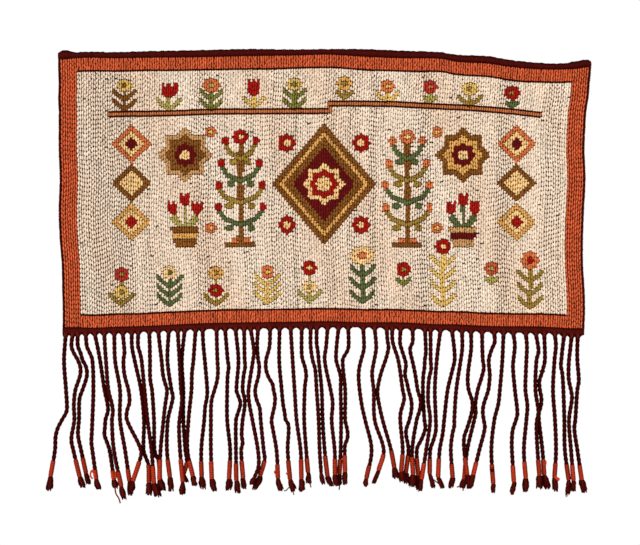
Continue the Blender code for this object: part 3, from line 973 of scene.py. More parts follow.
turned = np.where(column % 2 == 0, 1.0, -1.0)
dense = (zone == HEAD_ZONE) | (zone == FOOT_ZONE)
slant = turned * np.select([zone == SIDE_ZONE, zone == FIELD_ZONE], [1.0, 0.7], 0.3)
slant += shape.normal(0.0, 1.0, count) * np.select([dense, zone == FIELD_ZONE], [1.2, 0.55], 0.35)
bow = shape.normal(0.0, 1.0, count) * np.select([dense, zone == FIELD_ZONE], [0.5, 0.32], 0.22)
in_border = (zone == SIDE_ZONE) | dense
loose = looseness[column]
kinds = [zone == SIDE_ZONE, dense, zone == BAR_ZONE]
fullness = np.select(kinds, [1.0, 1.08, 1.08], 1.08 - 0.12 * loose)
fullness = fullness * (1.0 + shape.normal(0.0, 0.03, count))
slits = shape.random(COLUMN_COUNT) < 0.07
fullness = np.where(dense & slits[column], fullness - 0.2, fullness)
waist = np.select(kinds, [0.58, 0.8, 0.9], 0.76 - 0.3 * loose)
waist = np.where((zone == FIELD_ZONE) & (yarn != CREAM), 0.52, waist)
pinch = np.select(kinds, [0.4, 0.44, 0.46], 0.43)
height = STITCH_HEIGHT * (1.0 + shape.normal(0.0, 0.05, count)).clip(0.85, 1.0)
print("mean fullness:", round(float(fullness.mean()), 3))

# %% Dye each stitch
places = on_cloth(column_shares[column], (top + foot) / 2)
tone = 1.0 + shape.normal(0.0, 0.08, count) + 0.05 * drift(column, 9.0, shape)
tone = np.where(zone == SIDE_ZONE, tone * (1.0 + shape.normal(0.0, 0.06, count)), tone)
tone = np.where(dense, 0.94 * tone * (1.0 + shape.normal(0.0, 0.06, count)), tone)
stitch_dyes = YARN_DYES[yarn] * tone[:, None].clip(0.75, 1.12)
warm = np.clip(0.5 + 0.8 * drift(places[:, 0] + 0.4 * places[:, 2], 330.0, shape), 0.0, 1.0)
warm = np.where(yarn == CREAM, warm, 0.0)[:, None]
stitch_dyes = stitch_dyes * (1.0 - warm * np.array((0.03, 0.10, 0.15)))
print("mean dye:", stitch_dyes.mean(0).round(3))

# %% Place the beads
def bead_points(chosen):
    """The points of the chosen stitches' beads."""
    at = bead_ring[None, :] * pinch[chosen, None] + bead_tip[None, :] * TIP_REACH
    drops = top[chosen, None] + (foot - top)[chosen, None] * (0.5 + at)
    narrowing = 1.0 - bead_pull[None, :] * (1.0 - waist[chosen, None])
    aside = bead_across[None, :] * narrowing * (column_halves[column] * fullness)[chosen, None]
    aside = aside + slant[chosen, None] * at + bow[chosen, None] * (1.0 - 4.0 * at**2)
    lifts = STITCH_BASE + bead_lift[None, :] * height[chosen, None]
    shares = column_shares[column[chosen], None] + aside / CLOTH_WIDTH
    return on_cloth(shares, drops, lifts).reshape(-1, 3)


print("first bead, first point:", bead_points(np.array([0]))[0].round(2))

# %% Work the front
# Painted shade on the face stitches: where a stitch dives, and on the flanks of border and bar stitches,
# the dye is raised to a power, which darkens it and deepens its hue, and then scaled down.
PAINTED_SHADE_POWER = 1.6
BORDER_PAINTED_SHADE_POWER = 3.0
BORDER_FLANK_SHADE_POWER = 1.6
LOW_PAINTED_SHADE, FLANK_PAINTED_SHADE = 0.75, 0.92


def repeat_faces(faces, points, copies):
    """The faces of one shape, over again for each copy of its points."""
    bases = [points * copy for copy in range(copies)]
    return [tuple(corner + base for corner in face) for base in bases for face in faces]


def make_stitches(name, chosen):
    """One piece of face stitches."""
    chosen = np.flatnonzero(chosen)
    faces = repeat_faces(BEAD_FACES, BEAD_POINTS, len(chosen))
    dyes_and_shade = np.repeat(stitch_dyes[chosen], BEAD_POINTS, axis=0)
    bordering = (in_border | (zone == BAR_ZONE))[chosen].repeat(BEAD_POINTS)
    lift = np.tile(bead_lift, len(chosen))
    # Painted shade: the flanks of border and bar stitches and the low points of every stitch are darkened
    # here.
    shaded_flank = bordering & (lift > 0.5) & (lift < 0.85)
    dyes_and_shade[shaded_flank] = FLANK_PAINTED_SHADE * dyes_and_shade[shaded_flank] ** BORDER_FLANK_SHADE_POWER
    low = lift < 0.5
    dyes_and_shade[low] = LOW_PAINTED_SHADE * dyes_and_shade[low] ** np.where(bordering, BORDER_PAINTED_SHADE_POWER, PAINTED_SHADE_POWER)[low, None]
    return make_piece(name, bead_points(chosen), faces, dyes_and_shade, stitch_wool, both_sides=False)


is_cream = (zone == FIELD_ZONE) & (yarn == CREAM)
is_left = column < COLUMN_COUNT // 2
face_pieces = [
    make_stitches("field_stitches_left", is_cream & is_left),
    make_stitches("field_stitches_right", is_cream & ~is_left),
    make_stitches("border_stitches", in_border),
    make_stitches("motif_stitches", ~is_cream & ~in_border),
]

# %% [markdown]
# ## The ground and its reverse
# Under the stitches lies the woven ground, of which only dark specks show in front. It is the sheet
# that hangs, so it is modelled whole: a grid drawn to the hanging's outline and thickened. Behind, each
# stitch shows again as a low pad of the same yarn, because thick yarn passes right through.

# %% Make the ground
GROUND_COLUMNS, GROUND_ROWS = 120, 60
GROUND_THICKNESS = 1.2
TUCK = 2.5
side_tuck = INSET - TUCK / CLOTH_WIDTH
grid_share = side_tuck + (1.0 - 2.0 * side_tuck) * np.linspace(0.0, 1.0, GROUND_COLUMNS + 1)
grid_fall = np.linspace(0.0, 1.0, GROUND_ROWS + 1)[:, None]
grid_top = long_edge(HEADING_FOOT, grid_share) - TUCK
grid_foot = long_edge(CLOTH_FOOT, grid_share) + TUCK
grid_points = on_cloth(grid_share[None, :], grid_top + (grid_foot - grid_top) * grid_fall)
row_length = GROUND_COLUMNS + 1
grid_faces = [
    (start, start + row_length, start + row_length + 1, start + 1)
    for row in range(GROUND_ROWS)
    for start in range(row * row_length, row * row_length + GROUND_COLUMNS)
]
grid_points = grid_points.reshape(-1, 3)
ground = make_piece("ground_cloth", grid_points, grid_faces, GROUND_DYE, wrapped_wool)
thicken = ground.modifiers.new("Thickness", "SOLIDIFY")
thicken.thickness = GROUND_THICKNESS * MM
thicken.offset = 0.0
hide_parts("cloth")

# %% Work the reverse
PAD_ACROSS = np.array((0.0, 1.0, 1.0, 0.0, -1.0, -1.0, 0.0, 0.0))
PAD_AT = np.array((-0.5, -0.26, 0.26, 0.5, 0.26, -0.26, -0.24, 0.24))
PAD_LIFT = np.array((0.0, 0.0, 0.0, 0.0, 0.0, 0.0, 1.0, 1.0))
PAD_FACES = (
    (0, 6, 1),
    (1, 6, 7, 2),
    (2, 7, 3),
    (3, 7, 4),
    (4, 7, 6, 5),
    (5, 6, 0),
)
PAD_HEIGHT = 1.5
PAD_BASE = 0.45
PAD_SHADE = 0.82
pad_drops = top[:, None] + (foot - top)[:, None] * (0.5 + PAD_AT[None, :])
pad_aside = PAD_ACROSS[None, :] * (column_halves[column] * fullness)[:, None]
pad_aside = pad_aside - slant[:, None] * PAD_AT[None, :]
pad_lift = -PAD_BASE - PAD_LIFT[None, :] * PAD_HEIGHT
pad_points = on_cloth(column_shares[column, None] + pad_aside / CLOTH_WIDTH, pad_drops, pad_lift)
pad_points = pad_points.reshape(-1, 3)
pad_faces = repeat_faces(PAD_FACES, len(PAD_AT), count)
pad_dyes = np.repeat(stitch_dyes * PAD_SHADE, len(PAD_AT), axis=0)
reverse = make_piece("reverse_stitches", pad_points, pad_faces, pad_dyes, stitch_wool)

# %% [markdown]
# ## Many strands at once
# Cords, locks, laid yarns and the rolled edges are all tubes along a path. Blender's curves could
# sweep them one by one. An array sweep makes hundreds together and allows a radius for every
# point of every ring, which is what ridges and frays need.

# %% Sweep tubes along paths
def ring_turns(sides):
    """The angles of a ring's points."""
    return np.arange(sides) * TAU / sides


def tube_faces(stations, sides):
    """The faces of one closed tube."""
    faces = []
    for station in range(stations - 1):
        for number in range(sides):
            near, far = station * sides + number, station * sides + (number + 1) % sides
            faces.append((near, far, far + sides, near + sides))
    faces.append(tuple(reversed(range(sides))))
    faces.append(tuple((stations - 1) * sides + number for number in range(sides)))
    return faces


def sweep(paths, radii, sides):
    """Closed tubes along many paths with equal numbers of points: their points and faces."""
    paths = np.asarray(paths, float)
    strands, stations, _ = paths.shape
    run = np.gradient(paths, axis=1)
    run /= np.linalg.norm(run, axis=2, keepdims=True)
    side = np.cross(run, (0.0, 1.0, 0.0))
    side /= np.linalg.norm(side, axis=2, keepdims=True)
    over = np.cross(run, side)
    turn = ring_turns(sides)
    ring = side[:, :, None] * np.cos(turn)[:, None] + over[:, :, None] * np.sin(turn)[:, None]
    radii = np.asarray(radii, float)
    radii = radii[..., None] if radii.ndim == 2 else radii
    points = paths[:, :, None] + ring * np.broadcast_to(radii, (strands, stations, sides))[..., None]
    return points.reshape(-1, 3), repeat_faces(tube_faces(stations, sides), stations * sides, strands)


print("faces in a tube of 5 rings and 6 sides:", len(tube_faces(5, 6)))

# %% [markdown]
# ## Dark lines and stray tags
# A thin dark line runs wherever the work changes level: under the top border, along the bar and over
# the foot border. It is the ground yarn that shows where two rows of stitches part, so it is laid in
# the gap as a fine yarn that wanders a little. Small dark tags of yarn also stand here and there in
# the field, where an end was worked in.

# %% Lay the dark lines
laying = np.random.default_rng(41)
LINE_RADIUS = 2.0
LINE_LIFT = 1.5
LINE_DYE = dye(56, 9, 5)
YARN_SIDES = 5
LINE_TURN = 9
BAR_DROP = 120.0
TOP_LINE_RISE, FOOT_LINE_FALL, BAR_LINE_FALL = 0.6, 0.5, 0.3


def lay_line(shares, drops):
    """A fine yarn through places on the cloth."""
    drops = drops + laying.uniform(-0.35, 0.35, len(drops))
    return on_cloth(shares, drops, LINE_LIFT + laying.uniform(-0.2, 0.3, len(drops)))


field_columns = np.flatnonzero(~in_side_border)
lines = [
    lay_line(column_shares[field_columns], field_tops[field_columns] - TOP_LINE_RISE),
    lay_line(column_shares[field_columns], field_feet[field_columns] + FOOT_LINE_FALL),
]
column_across = on_cloth(column_shares, np.full(COLUMN_COUNT, BAR_DROP))[:, 0]
for rows, start, end in ((BAR_LEFT, -BAR_END, LINE_TURN), (BAR_RIGHT, STEP_LEFT, BAR_END)):
    under = np.flatnonzero((column_across > start) & (column_across < end))
    bar_top = along(rows, 1, column_across[under])
    lines.append(lay_line(column_shares[under], bar_top))
    lines.append(lay_line(column_shares[under], bar_top + BAR_HEIGHT + BAR_LINE_FALL))
line_points, line_faces = [], []
for line in lines:
    points, faces = sweep(line[None], np.full((1, len(line)), LINE_RADIUS), YARN_SIDES)
    base = sum(map(len, line_points))
    line_faces += [tuple(corner + base for corner in face) for face in faces]
    line_points.append(points)
line_points = np.concatenate(line_points)
line_yarns = make_piece("dark_line_yarns", line_points, line_faces, LINE_DYE, twisted_wool)

# %% Stand the tags
TAG_COUNT = 52
TAG_STATIONS = 5
TAG_RADIUS = 1.0
TAG_DYE = dye(46, 14, 8)
tag_rng = np.random.default_rng(53)
cream_stitches = np.flatnonzero(is_cream)
tag_homes = tag_rng.choice(cream_stitches, TAG_COUNT, replace=False)
tag_share = column_shares[column[tag_homes], None]
tag_drop = foot[tag_homes, None]
step = np.linspace(-1.0, 1.0, TAG_STATIONS)
tag_aside = tag_rng.uniform(2.0, 4.2, TAG_COUNT)[:, None] * step[None, :]
tag_fall = tag_rng.uniform(-3.2, 3.2, (TAG_COUNT, 1)) * step[None, :] ** 2
tag_fall = tag_fall + tag_rng.uniform(-1.5, 1.5, (TAG_COUNT, 1)) * step[None, :]
tag_lift = 2.5 + 0.9 * (1.0 - step[None, :] ** 2) - 1.0 * abs(step[None, :])
tag_paths = on_cloth(tag_share + tag_aside / CLOTH_WIDTH, tag_drop + tag_fall, tag_lift)
tag_points, tag_faces = sweep(tag_paths, np.full((TAG_COUNT, TAG_STATIONS), TAG_RADIUS), YARN_SIDES)
tags = make_piece("yarn_tags", tag_points, tag_faces, TAG_DYE, twisted_wool)

# %% [markdown]
# ## Rolled heading and bound sides
# The heading is a dark roll of wool, sewn down with slanting turns. Its top line is lumpy and both
# corners are fuller. The sides are bound with the same wool. A plain extrusion would look like piping.
# The rings below get fine slanting ridges for the turns and slow lumps for the hand. Their colour
# carries painted shade: darker towards the outline, more widely along the top of a long roll, and a
# little lighter on the ridges of the turns.

# %% Roll an edge
END_ROUNDING = 0.8


def lengths_along(path):
    """How far along its path each point lies."""
    return np.concatenate(([0.0], np.cumsum(np.linalg.norm(np.diff(path, axis=0), axis=1))))


def roll_rings(centres, half_heights, half_depth, upright, pitch, ridge, lump, sides, seed):
    """The rings of a wrapped roll and their tones of painted shade and lot variation; upright rolls run
    down the sides.
    """
    rng = np.random.default_rng(seed)
    stations = len(centres)
    length = lengths_along(centres)
    turn = ring_turns(sides)
    wrap = np.cos(TAU * length[:, None] / pitch + turn[None, :])
    swell = 1.0 + (ridge * wrap + lump * drift(length, 34.0, rng)[:, None]) / half_heights[:, None]
    swell = swell + rng.normal(0.0, 0.12, (stations, sides)) / half_heights[:, None]
    wide = np.cos(turn)[None, :] * half_heights[:, None] * swell
    deep = np.sin(turn)[None, :] * half_depth[:, None] * swell
    aside = (1.0, 0.0, 0.0) if upright else (0.0, 0.0, 1.0)
    points = centres[:, None] + wide[..., None] * np.array(aside)
    points = points + deep[..., None] * np.array((0.0, -1.0, 0.0))
    # Painted shade: darker towards the outline of the roll, in a wider band along the top of a long roll,
    # and lighter on the ridges of the turns; the random factor after it is lot variation.
    outline_shade_falloff = 3.0 if upright else 3.0 + 1.8 * np.cos(turn)
    tone = (0.22 + 0.93 * abs(np.sin(turn)) ** outline_shade_falloff)[None, :] * (1.0 + 0.12 * wrap)
    tone = tone * (1.0 + rng.normal(0.0, 0.08, (stations, 1)))
    return points.reshape(-1, 3), tone.reshape(-1)


print("rolls have ridges, lumps and a darker outline")

# %% Make the heading
def make_long_roll(name, node, edges, depth, stations, sides, lump, dyed, seed):
    """A wrapped roll between two long edges."""
    share = np.linspace(0.0, 1.0, stations)
    high, low = long_edge(edges[0], share), long_edge(edges[1], share)
    ends = np.minimum(np.minimum(share, 1.0 - share) / 0.004, 1.0)
    rounding = END_ROUNDING + (1.0 - END_ROUNDING) * np.sqrt(1.0 - (1.0 - ends) ** 2)
    seat = on_cloth(share, low)
    centres = np.stack((seat[:, 0], seat[:, 1], -(high + low) / 2), axis=1)
    half_heights, half_depth = (low - high) / 2 * rounding, depth / 2 * rounding
    turns = {"upright": False, "pitch": 4.6, "ridge": 0.18, "lump": lump}
    points, tone = roll_rings(centres, half_heights, half_depth, sides=sides, seed=seed, **turns)
    faces = tube_faces(stations, sides)
    # The tones darken the dye with the roll's painted shade.
    piece = make_piece(name, points, faces, dyed * tone[:, None], wrapped_wool)
    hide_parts(node)
    return piece


heading = make_long_roll(
    "heading_roll",
    "heading",
    (HEADING_TOP, HEADING_FOOT),
    depth=10.0,
    stations=560,
    sides=14,
    lump=0.75,
    dyed=dye(67, 15, 12),
    seed=5,
)

# %% Bind the sides
BINDING_STATIONS, BINDING_SIDES = 260, 10
BINDING_DYE = dye(70, 14, 10)


def make_binding(name, node, share, seed):
    """A narrow wrapped edge down one side."""
    high = float(long_edge(HEADING_FOOT, share)) - 4.0
    low = float(long_edge(CLOTH_FOOT, share)) + 3.0
    inward = BINDING_WIDTH / 2 if share < 0.5 else -BINDING_WIDTH / 2
    centres = on_cloth(share, np.linspace(high, low, BINDING_STATIONS)) + (inward, 0.0, 0.0)
    half = np.full(BINDING_STATIONS, BINDING_WIDTH / 2)
    turns = {"upright": True, "pitch": 3.4, "ridge": 0.22, "lump": 0.3}
    points, tone = roll_rings(centres, half, half * 1.7, sides=BINDING_SIDES, seed=seed, **turns)
    faces = tube_faces(BINDING_STATIONS, BINDING_SIDES)
    # The tones darken the dye with the binding's painted shade.
    piece = make_piece(name, points, faces, BINDING_DYE * tone[:, None], wrapped_wool)
    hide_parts(node)
    return piece


bindings = [
    make_binding("left_binding", "binding_left", 0.0, 6),
    make_binding("right_binding", "binding_right", 1.0, 7),
]

# %% [markdown]
# ## The band and its cords
# Along the foot a narrow dark band holds the fringe. Each cord is two plies of thick wool that leave
# the band apart, meet in a fork and then twist round each other about every 19 mm. A textured tube
# would have a straight outline, and the photograph shows the beaded outline of a real twist, so
# both plies are swept as strands.

# %% Make the band
band = make_long_roll(
    "fringe_band",
    "fringe",
    (CLOTH_FOOT, BAND_FOOT),
    depth=7.0,
    stations=420,
    sides=12,
    lump=0.35,
    dyed=dye(75, 16, 12),
    seed=8,
)

# %% Follow a cord
LAYER_OFFSET, TIP_LAYER_OFFSET = 4.1, 5.0
ROOT_DEPTH = 6.0
BARE_END_LENGTH = 34.0
FRINGE_DROP = 570.0
left_foot, right_foot = (float(along(SIDE_EDGES, side, FRINGE_DROP)) for side in (1, 2))


def cord_ends(cord):
    """A cord's share of the width, where the band ends over it and where its frayed tip begins."""
    share = (cord[ROOT] - left_foot) / (right_foot - left_foot)
    tip_drop = cord[WHIPPING_DROP] + (cord[WHIPPING_LENGTH] or BARE_END_LENGTH)
    return share, float(long_edge(BAND_FOOT, share)), tip_drop


def cord_axis(number, drops):
    """The middle line of a cord at the given drops."""
    cord = CORDS[number]
    share, start, tip_drop = cord_ends(cord)
    heights = zip((CHEST_DROP, WAIST_DROP, KNEE_DROP, ANKLE_DROP), cord[CHEST:TIP])
    bends = BENDS.get(number + 1, ())
    sway = sorted(((start, cord[ROOT]), *heights, *bends, (tip_drop, cord[TIP])))
    aside = along(sway, 1, np.maximum(drops, start))
    lean = (cord[TIP] - cord[ANKLE]) / (tip_drop - ANKLE_DROP)
    aside = aside + np.maximum(drops - tip_drop, 0.0) * lean * 0.6
    layers = (
        (start + 2, 0.0),
        (start + 9, 0.25 * LAYER_OFFSET),
        (start + 30, LAYER_OFFSET),
        (ANKLE_DROP, LAYER_OFFSET),
        (tip_drop, TIP_LAYER_OFFSET),
    )
    offset = np.interp(drops, *zip(*layers))
    through = float(wave(share, 1.0)) + (-offset if number % 2 else offset)
    return np.stack((aside, through, -drops), axis=1)


print("first cord's tip:", cord_axis(0, np.array([854.0])).round(1))

# %% Twist a ply
TWIST_LENGTH = 19.2
PLY_RADIUS = 3.45
PLY_OFFSET = 1.3
FORK_LENGTH = 11.0
FORK_SPREAD = 3.2
PLY_STATIONS = 122
PLY_SIDES = 5


def ply_path(number, which):
    """The path and radii of one of a cord's two plies."""
    cord = CORDS[number]
    _, start, tip_drop = cord_ends(cord)
    drops = np.linspace(start - ROOT_DEPTH, tip_drop + 2.0, PLY_STATIONS)
    bound = cord[WHIPPING_DROP] if cord[WHIPPING_LENGTH] else tip_drop - 4.0
    squeeze = 1.0 - 0.3 * np.clip((drops - bound + 1.0) / 4.0, 0.0, 1.0)
    axis = cord_axis(number, drops)
    length = lengths_along(axis) - ROOT_DEPTH
    angle = TAU * (length - FORK_LENGTH) / TWIST_LENGTH + math.pi * which
    joined = np.clip(length / FORK_LENGTH, 0.0, 1.0)
    joined = np.sin(joined * math.pi / 2) ** 1.3
    spread = FORK_SPREAD * (1.0 - joined) * (1.0 if which == 0 else -1.0)
    aside = np.cos(angle) * PLY_OFFSET * joined * squeeze + spread
    through = np.sin(angle) * PLY_OFFSET * joined * squeeze
    path = axis + np.stack((aside, through, np.zeros(PLY_STATIONS)), axis=1)
    return path, PLY_RADIUS * squeeze


print("length of the first ply:", round(float(lengths_along(ply_path(0, 0)[0])[-1])), "mm")

# %% Make the cords
HALF_WAY = 28


def make_cords(name, numbers):
    """One piece of twisted cords."""
    plies = [ply_path(number, which) for number in numbers for which in (0, 1)]
    paths = np.array([path for path, _ in plies])
    radii = np.array([radius for _, radius in plies])
    points, faces = sweep(paths, radii, PLY_SIDES)
    rng = np.random.default_rng(numbers[0] + 61)
    tone = rng.uniform(0.85, 1.2, len(numbers)).repeat(2 * PLY_STATIONS * PLY_SIDES)
    # Painted shade: each ply is darker at its sides, as seen from the front, and lightest where it faces
    # front or back.
    facing = abs(np.sin(ring_turns(PLY_SIDES)))
    tone = tone * np.tile(0.22 + 1.05 * facing**2, 2 * PLY_STATIONS * len(numbers))
    piece = make_piece(name, points, faces, DARK_DYE * tone[:, None], twisted_wool)
    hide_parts("fringe")
    return piece


cord_pieces = [
    make_cords("cords_left", range(0, HALF_WAY)),
    make_cords("cords_right", range(HALF_WAY, len(CORDS))),
]

# %% Fan the roots
# Painted light on the roots: the middle strands carry a painted highlight and the outer ones painted
# shade.
ROOT_STRANDS = (
    # aside, to the front, radius, tone: a painted highlight above 1 and painted shade below
    (-9.0, 0.4, 1.5, 0.35),
    (-5.6, -0.9, 1.9, 0.8),
    (-1.8, 1.6, 1.9, 1.1),
    (1.8, 1.4, 1.9, 1.1),
    (5.6, -0.7, 1.9, 0.8),
    (9.0, 0.6, 1.5, 0.35),
)
ROOT_STATIONS, ROOT_SIDES = 8, 6
ROOT_START, ROOT_LENGTH = 4.0, 17.0
root_paths, root_radii = [], []
for number, cord in enumerate(CORDS):
    start = cord_ends(cord)[1]
    fall = np.linspace(0.0, 1.0, ROOT_STATIONS)
    drops = start - ROOT_START + fall * ROOT_LENGTH
    middle = cord_axis(number, drops)
    free = np.clip((drops - start + 1.0) / 12.0, 0.0, 1.0)
    for aside, front, radius, _ in ROOT_STRANDS:
        spread = aside * (1.0 - free) ** 3.0 + 0.2 * aside * free
        shift = np.stack((spread, np.full(ROOT_STATIONS, -front), np.zeros(ROOT_STATIONS)), axis=1)
        path = middle + shift
        path[:, 0] = path[:, 0].clip(left_foot + 2.0, right_foot - 2.0)
        root_paths.append(path)
        root_radii.append(radius * np.interp(fall, (0.0, 0.6, 1.0), (1.0, 1.0, 0.5)))
root_points, root_faces = sweep(root_paths, root_radii, ROOT_SIDES)
strand_tones = np.tile([strand[3] for strand in ROOT_STRANDS], len(CORDS))
root_tones = strand_tones.repeat(ROOT_STATIONS * ROOT_SIDES)
root_dyes_and_light = ROOT_DYE_AND_HIGHLIGHT * root_tones[:, None]
roots = make_piece("cord_roots", root_points, root_faces, root_dyes_and_light, twisted_wool)

# %% [markdown]
# ## Whippings
# Near its end almost every cord is whipped: orange-red thread is wound tightly round it for about
# 30 mm, so that it can't untwist. Turn by turn as a spiral this would cost too much, so the turns
# are slanting ridges on a tube that dips slightly where the plies meet. Its colour is painted darker
# and redder along the flanks as shade, and slanting bands of painted highlight and shade run round it.

# %% Wind the thread
WHIPPING_RADIUS = 4.8
THREAD_PITCH = 1.15
LIGHT_BAND_PITCH = 4.4
WHIPPING_STATIONS, WHIPPING_SIDES = 58, 10
whipped = [number for number, cord in enumerate(CORDS) if cord[WHIPPING_LENGTH]]
winding = np.random.default_rng(71)
whip_paths, whip_radii, whip_tones = [], [], []
whip_turn = ring_turns(WHIPPING_SIDES)
for number in whipped:
    whip_top = CORDS[number][WHIPPING_DROP]
    drops = np.linspace(whip_top, whip_top + CORDS[number][WHIPPING_LENGTH], WHIPPING_STATIONS)
    ends = np.minimum(drops - drops[0], drops[-1] - drops)
    swell = WHIPPING_RADIUS * (1.0 - 0.12 * np.exp(-ends / 0.8))[:, None]
    ridge = 0.2 * np.cos(TAU * drops[:, None] / THREAD_PITCH + whip_turn[None, :])
    lobes = 1.0 - 0.1 * abs(np.sin(whip_turn))[None, :] ** 3
    uneven = 0.15 * drift(drops, 13.0, winding)[:, None]
    whip_paths.append(cord_axis(number, drops))
    whip_radii.append((swell + ridge + uneven) * lobes)
    # Painted light: the flanks shade from the thread's dye to the painted shade colour, and slanting
    # bands of painted highlight and shade run round the whipping; the random factors are tone that varies
    # by cord and by turn.
    facing = abs(np.sin(whip_turn))[None, :, None] ** 2.0
    turns = winding.uniform(0.56, 0.8) * winding.uniform(0.9, 1.1, (WHIPPING_STATIONS, 1, 1))
    light_bands = np.cos(TAU * drops[:, None] / LIGHT_BAND_PITCH + whip_turn[None, :])[..., None]
    turns = turns * (1.0 + 0.3 * light_bands)
    whip_tones.append((turns * (THREAD_SHADE + (THREAD_DYE - THREAD_SHADE) * facing)).reshape(-1, 3))
whip_points, whip_faces = sweep(whip_paths, whip_radii, WHIPPING_SIDES)
whip_dyes_and_light = np.concatenate(whip_tones)
whippings = make_piece("thread_whippings", whip_points, whip_faces, whip_dyes_and_light, sewing_thread)

# %% [markdown]
# ## Frayed tips
# Below its whipping a cord frays into a short dark tuft. Hair particles would be finer than this thick
# wool, which parts into about twenty soft locks. A table notes how long and wide each tuft is and
# which way it leans. Each lock is a thin tapering strand that leaves the cord's end, spreads and
# curls on its own.

# %% Note the tufts
TUFTS = (
    # length, half_width, lean, one for each cord from the left
    (29, 6.7, 0), (22, 6.0, 4), (23, 5.6, 2), (21, 5.8, 3), (18, 6.2, 2), (26, 5.2, 3), (28, 5.2, -1),
    (22, 5.8, 0), (25, 6.3, -2), (27, 9.5, 6), (24, 8.0, 4), (21, 5.5, 8), (28, 6.4, 0), (25, 5.6, -4),
    (15, 4.5, 8), (20, 5.6, 1), (24, 6.2, 3), (24, 5.8, 4), (23, 6.4, 0), (25, 6.8, 3), (22, 5.2, 1),
    (12, 4.8, -4), (27, 7.4, -8), (26, 5.2, 5), (25, 6.8, 5), (25, 6.2, 0), (22, 5.4, 0), (22, 5.0, 3),
    (20, 6.6, 5), (23, 6.6, 2), (22, 5.4, -2), (25, 5.2, 0), (17, 4.4, 0), (27, 4.8, -7), (22, 7.2, 1),
    (22, 7.0, 3), (22, 6.6, 3), (24, 6.6, -3), (28, 5.4, -1), (24, 5.4, -2), (29, 5.2, 8), (22, 5.2, 10),
    (22, 6.2, -5), (26, 7.0, 3), (18, 6.2, -3), (27, 6.4, -4), (18, 4.9, 0), (25, 5.0, -4), (27, 5.8, -1),
    (27, 6.6, -2), (28, 7.4, 5), (28, 6.2, 2), (30, 6.2, -4), (22, 5.2, -1), (25, 7.4, 3),
)
print(len(TUFTS), "tufts")

# %% Fray the tips
LOCKS = 20
LOCK_STATIONS = 7
LOCK_SIDES = 5
LOCK_RADIUS = 1.9
fraying = np.random.default_rng(83)
lock_paths, lock_radii, lock_tones = [], [], []
for number, cord in enumerate(CORDS):
    tip_drop = cord_ends(cord)[2]
    longest, half_width, lean = TUFTS[number]
    spread = half_width - 0.3 * LOCK_RADIUS
    flare = fraying.uniform(0.5, 0.72)
    fall = np.linspace(0.0, 1.0, LOCK_STATIONS)
    for lock in range(LOCKS):
        length = 2.0 + longest * fraying.uniform(0.74, 1.06)
        around = TAU * (lock + fraying.uniform(-0.3, 0.3)) / LOCKS
        out = math.sqrt(fraying.uniform(0.05, 1.0))
        root = 2.0 * out
        reach = root + (spread * out - root) * np.sin(fall * math.pi * flare) ** 0.9
        reach = reach + fraying.uniform(-1.7, 1.7) * np.sin(fall * TAU * fraying.uniform(0.5, 1.2))
        middle = cord_axis(number, tip_drop - 2.0 + fall * length)
        aside = np.cos(around) * reach + lean * fall**1.3 + fraying.normal(0.0, 0.35, LOCK_STATIONS)
        through = np.sin(around) * reach * 0.75
        lock_paths.append(middle + np.stack((aside, through, np.zeros(LOCK_STATIONS)), axis=1))
        thickness = np.interp(fall, (0.0, 0.45, 0.85, 1.0), (0.8, 1.05, 0.95, 0.55))
        lock_radii.append(LOCK_RADIUS * thickness * fraying.uniform(0.85, 1.15))
        # Painted shade: locks that stand out to the sides of a tuft are darker; the random factor is tone
        # that varies by lock.
        facing = out * abs(math.cos(around))
        lock_tones.append(fraying.uniform(0.75, 1.2) * (1.1 - 0.85 * facing))
lock_points, lock_faces = sweep(lock_paths, lock_radii, LOCK_SIDES)
lock_dyes_and_shade = TUFT_DYE * np.repeat(lock_tones, LOCK_STATIONS * LOCK_SIDES)[:, None]
tufts = make_piece("frayed_tips", lock_points, lock_faces, lock_dyes_and_shade, twisted_wool)
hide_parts("fringe")

# %% [markdown]
# ## Loose ends
# Handwork leaves a few ends: a loop of thread that stands off its whipping, a turn that slipped, a
# stretch of thread or wool that is thicker, a strand that hangs below its tuft. Each is one short tube
# through places noted one by one, since each lies where a finger left it. The number of its cord comes
# first, because the end lies at that cord's depth.

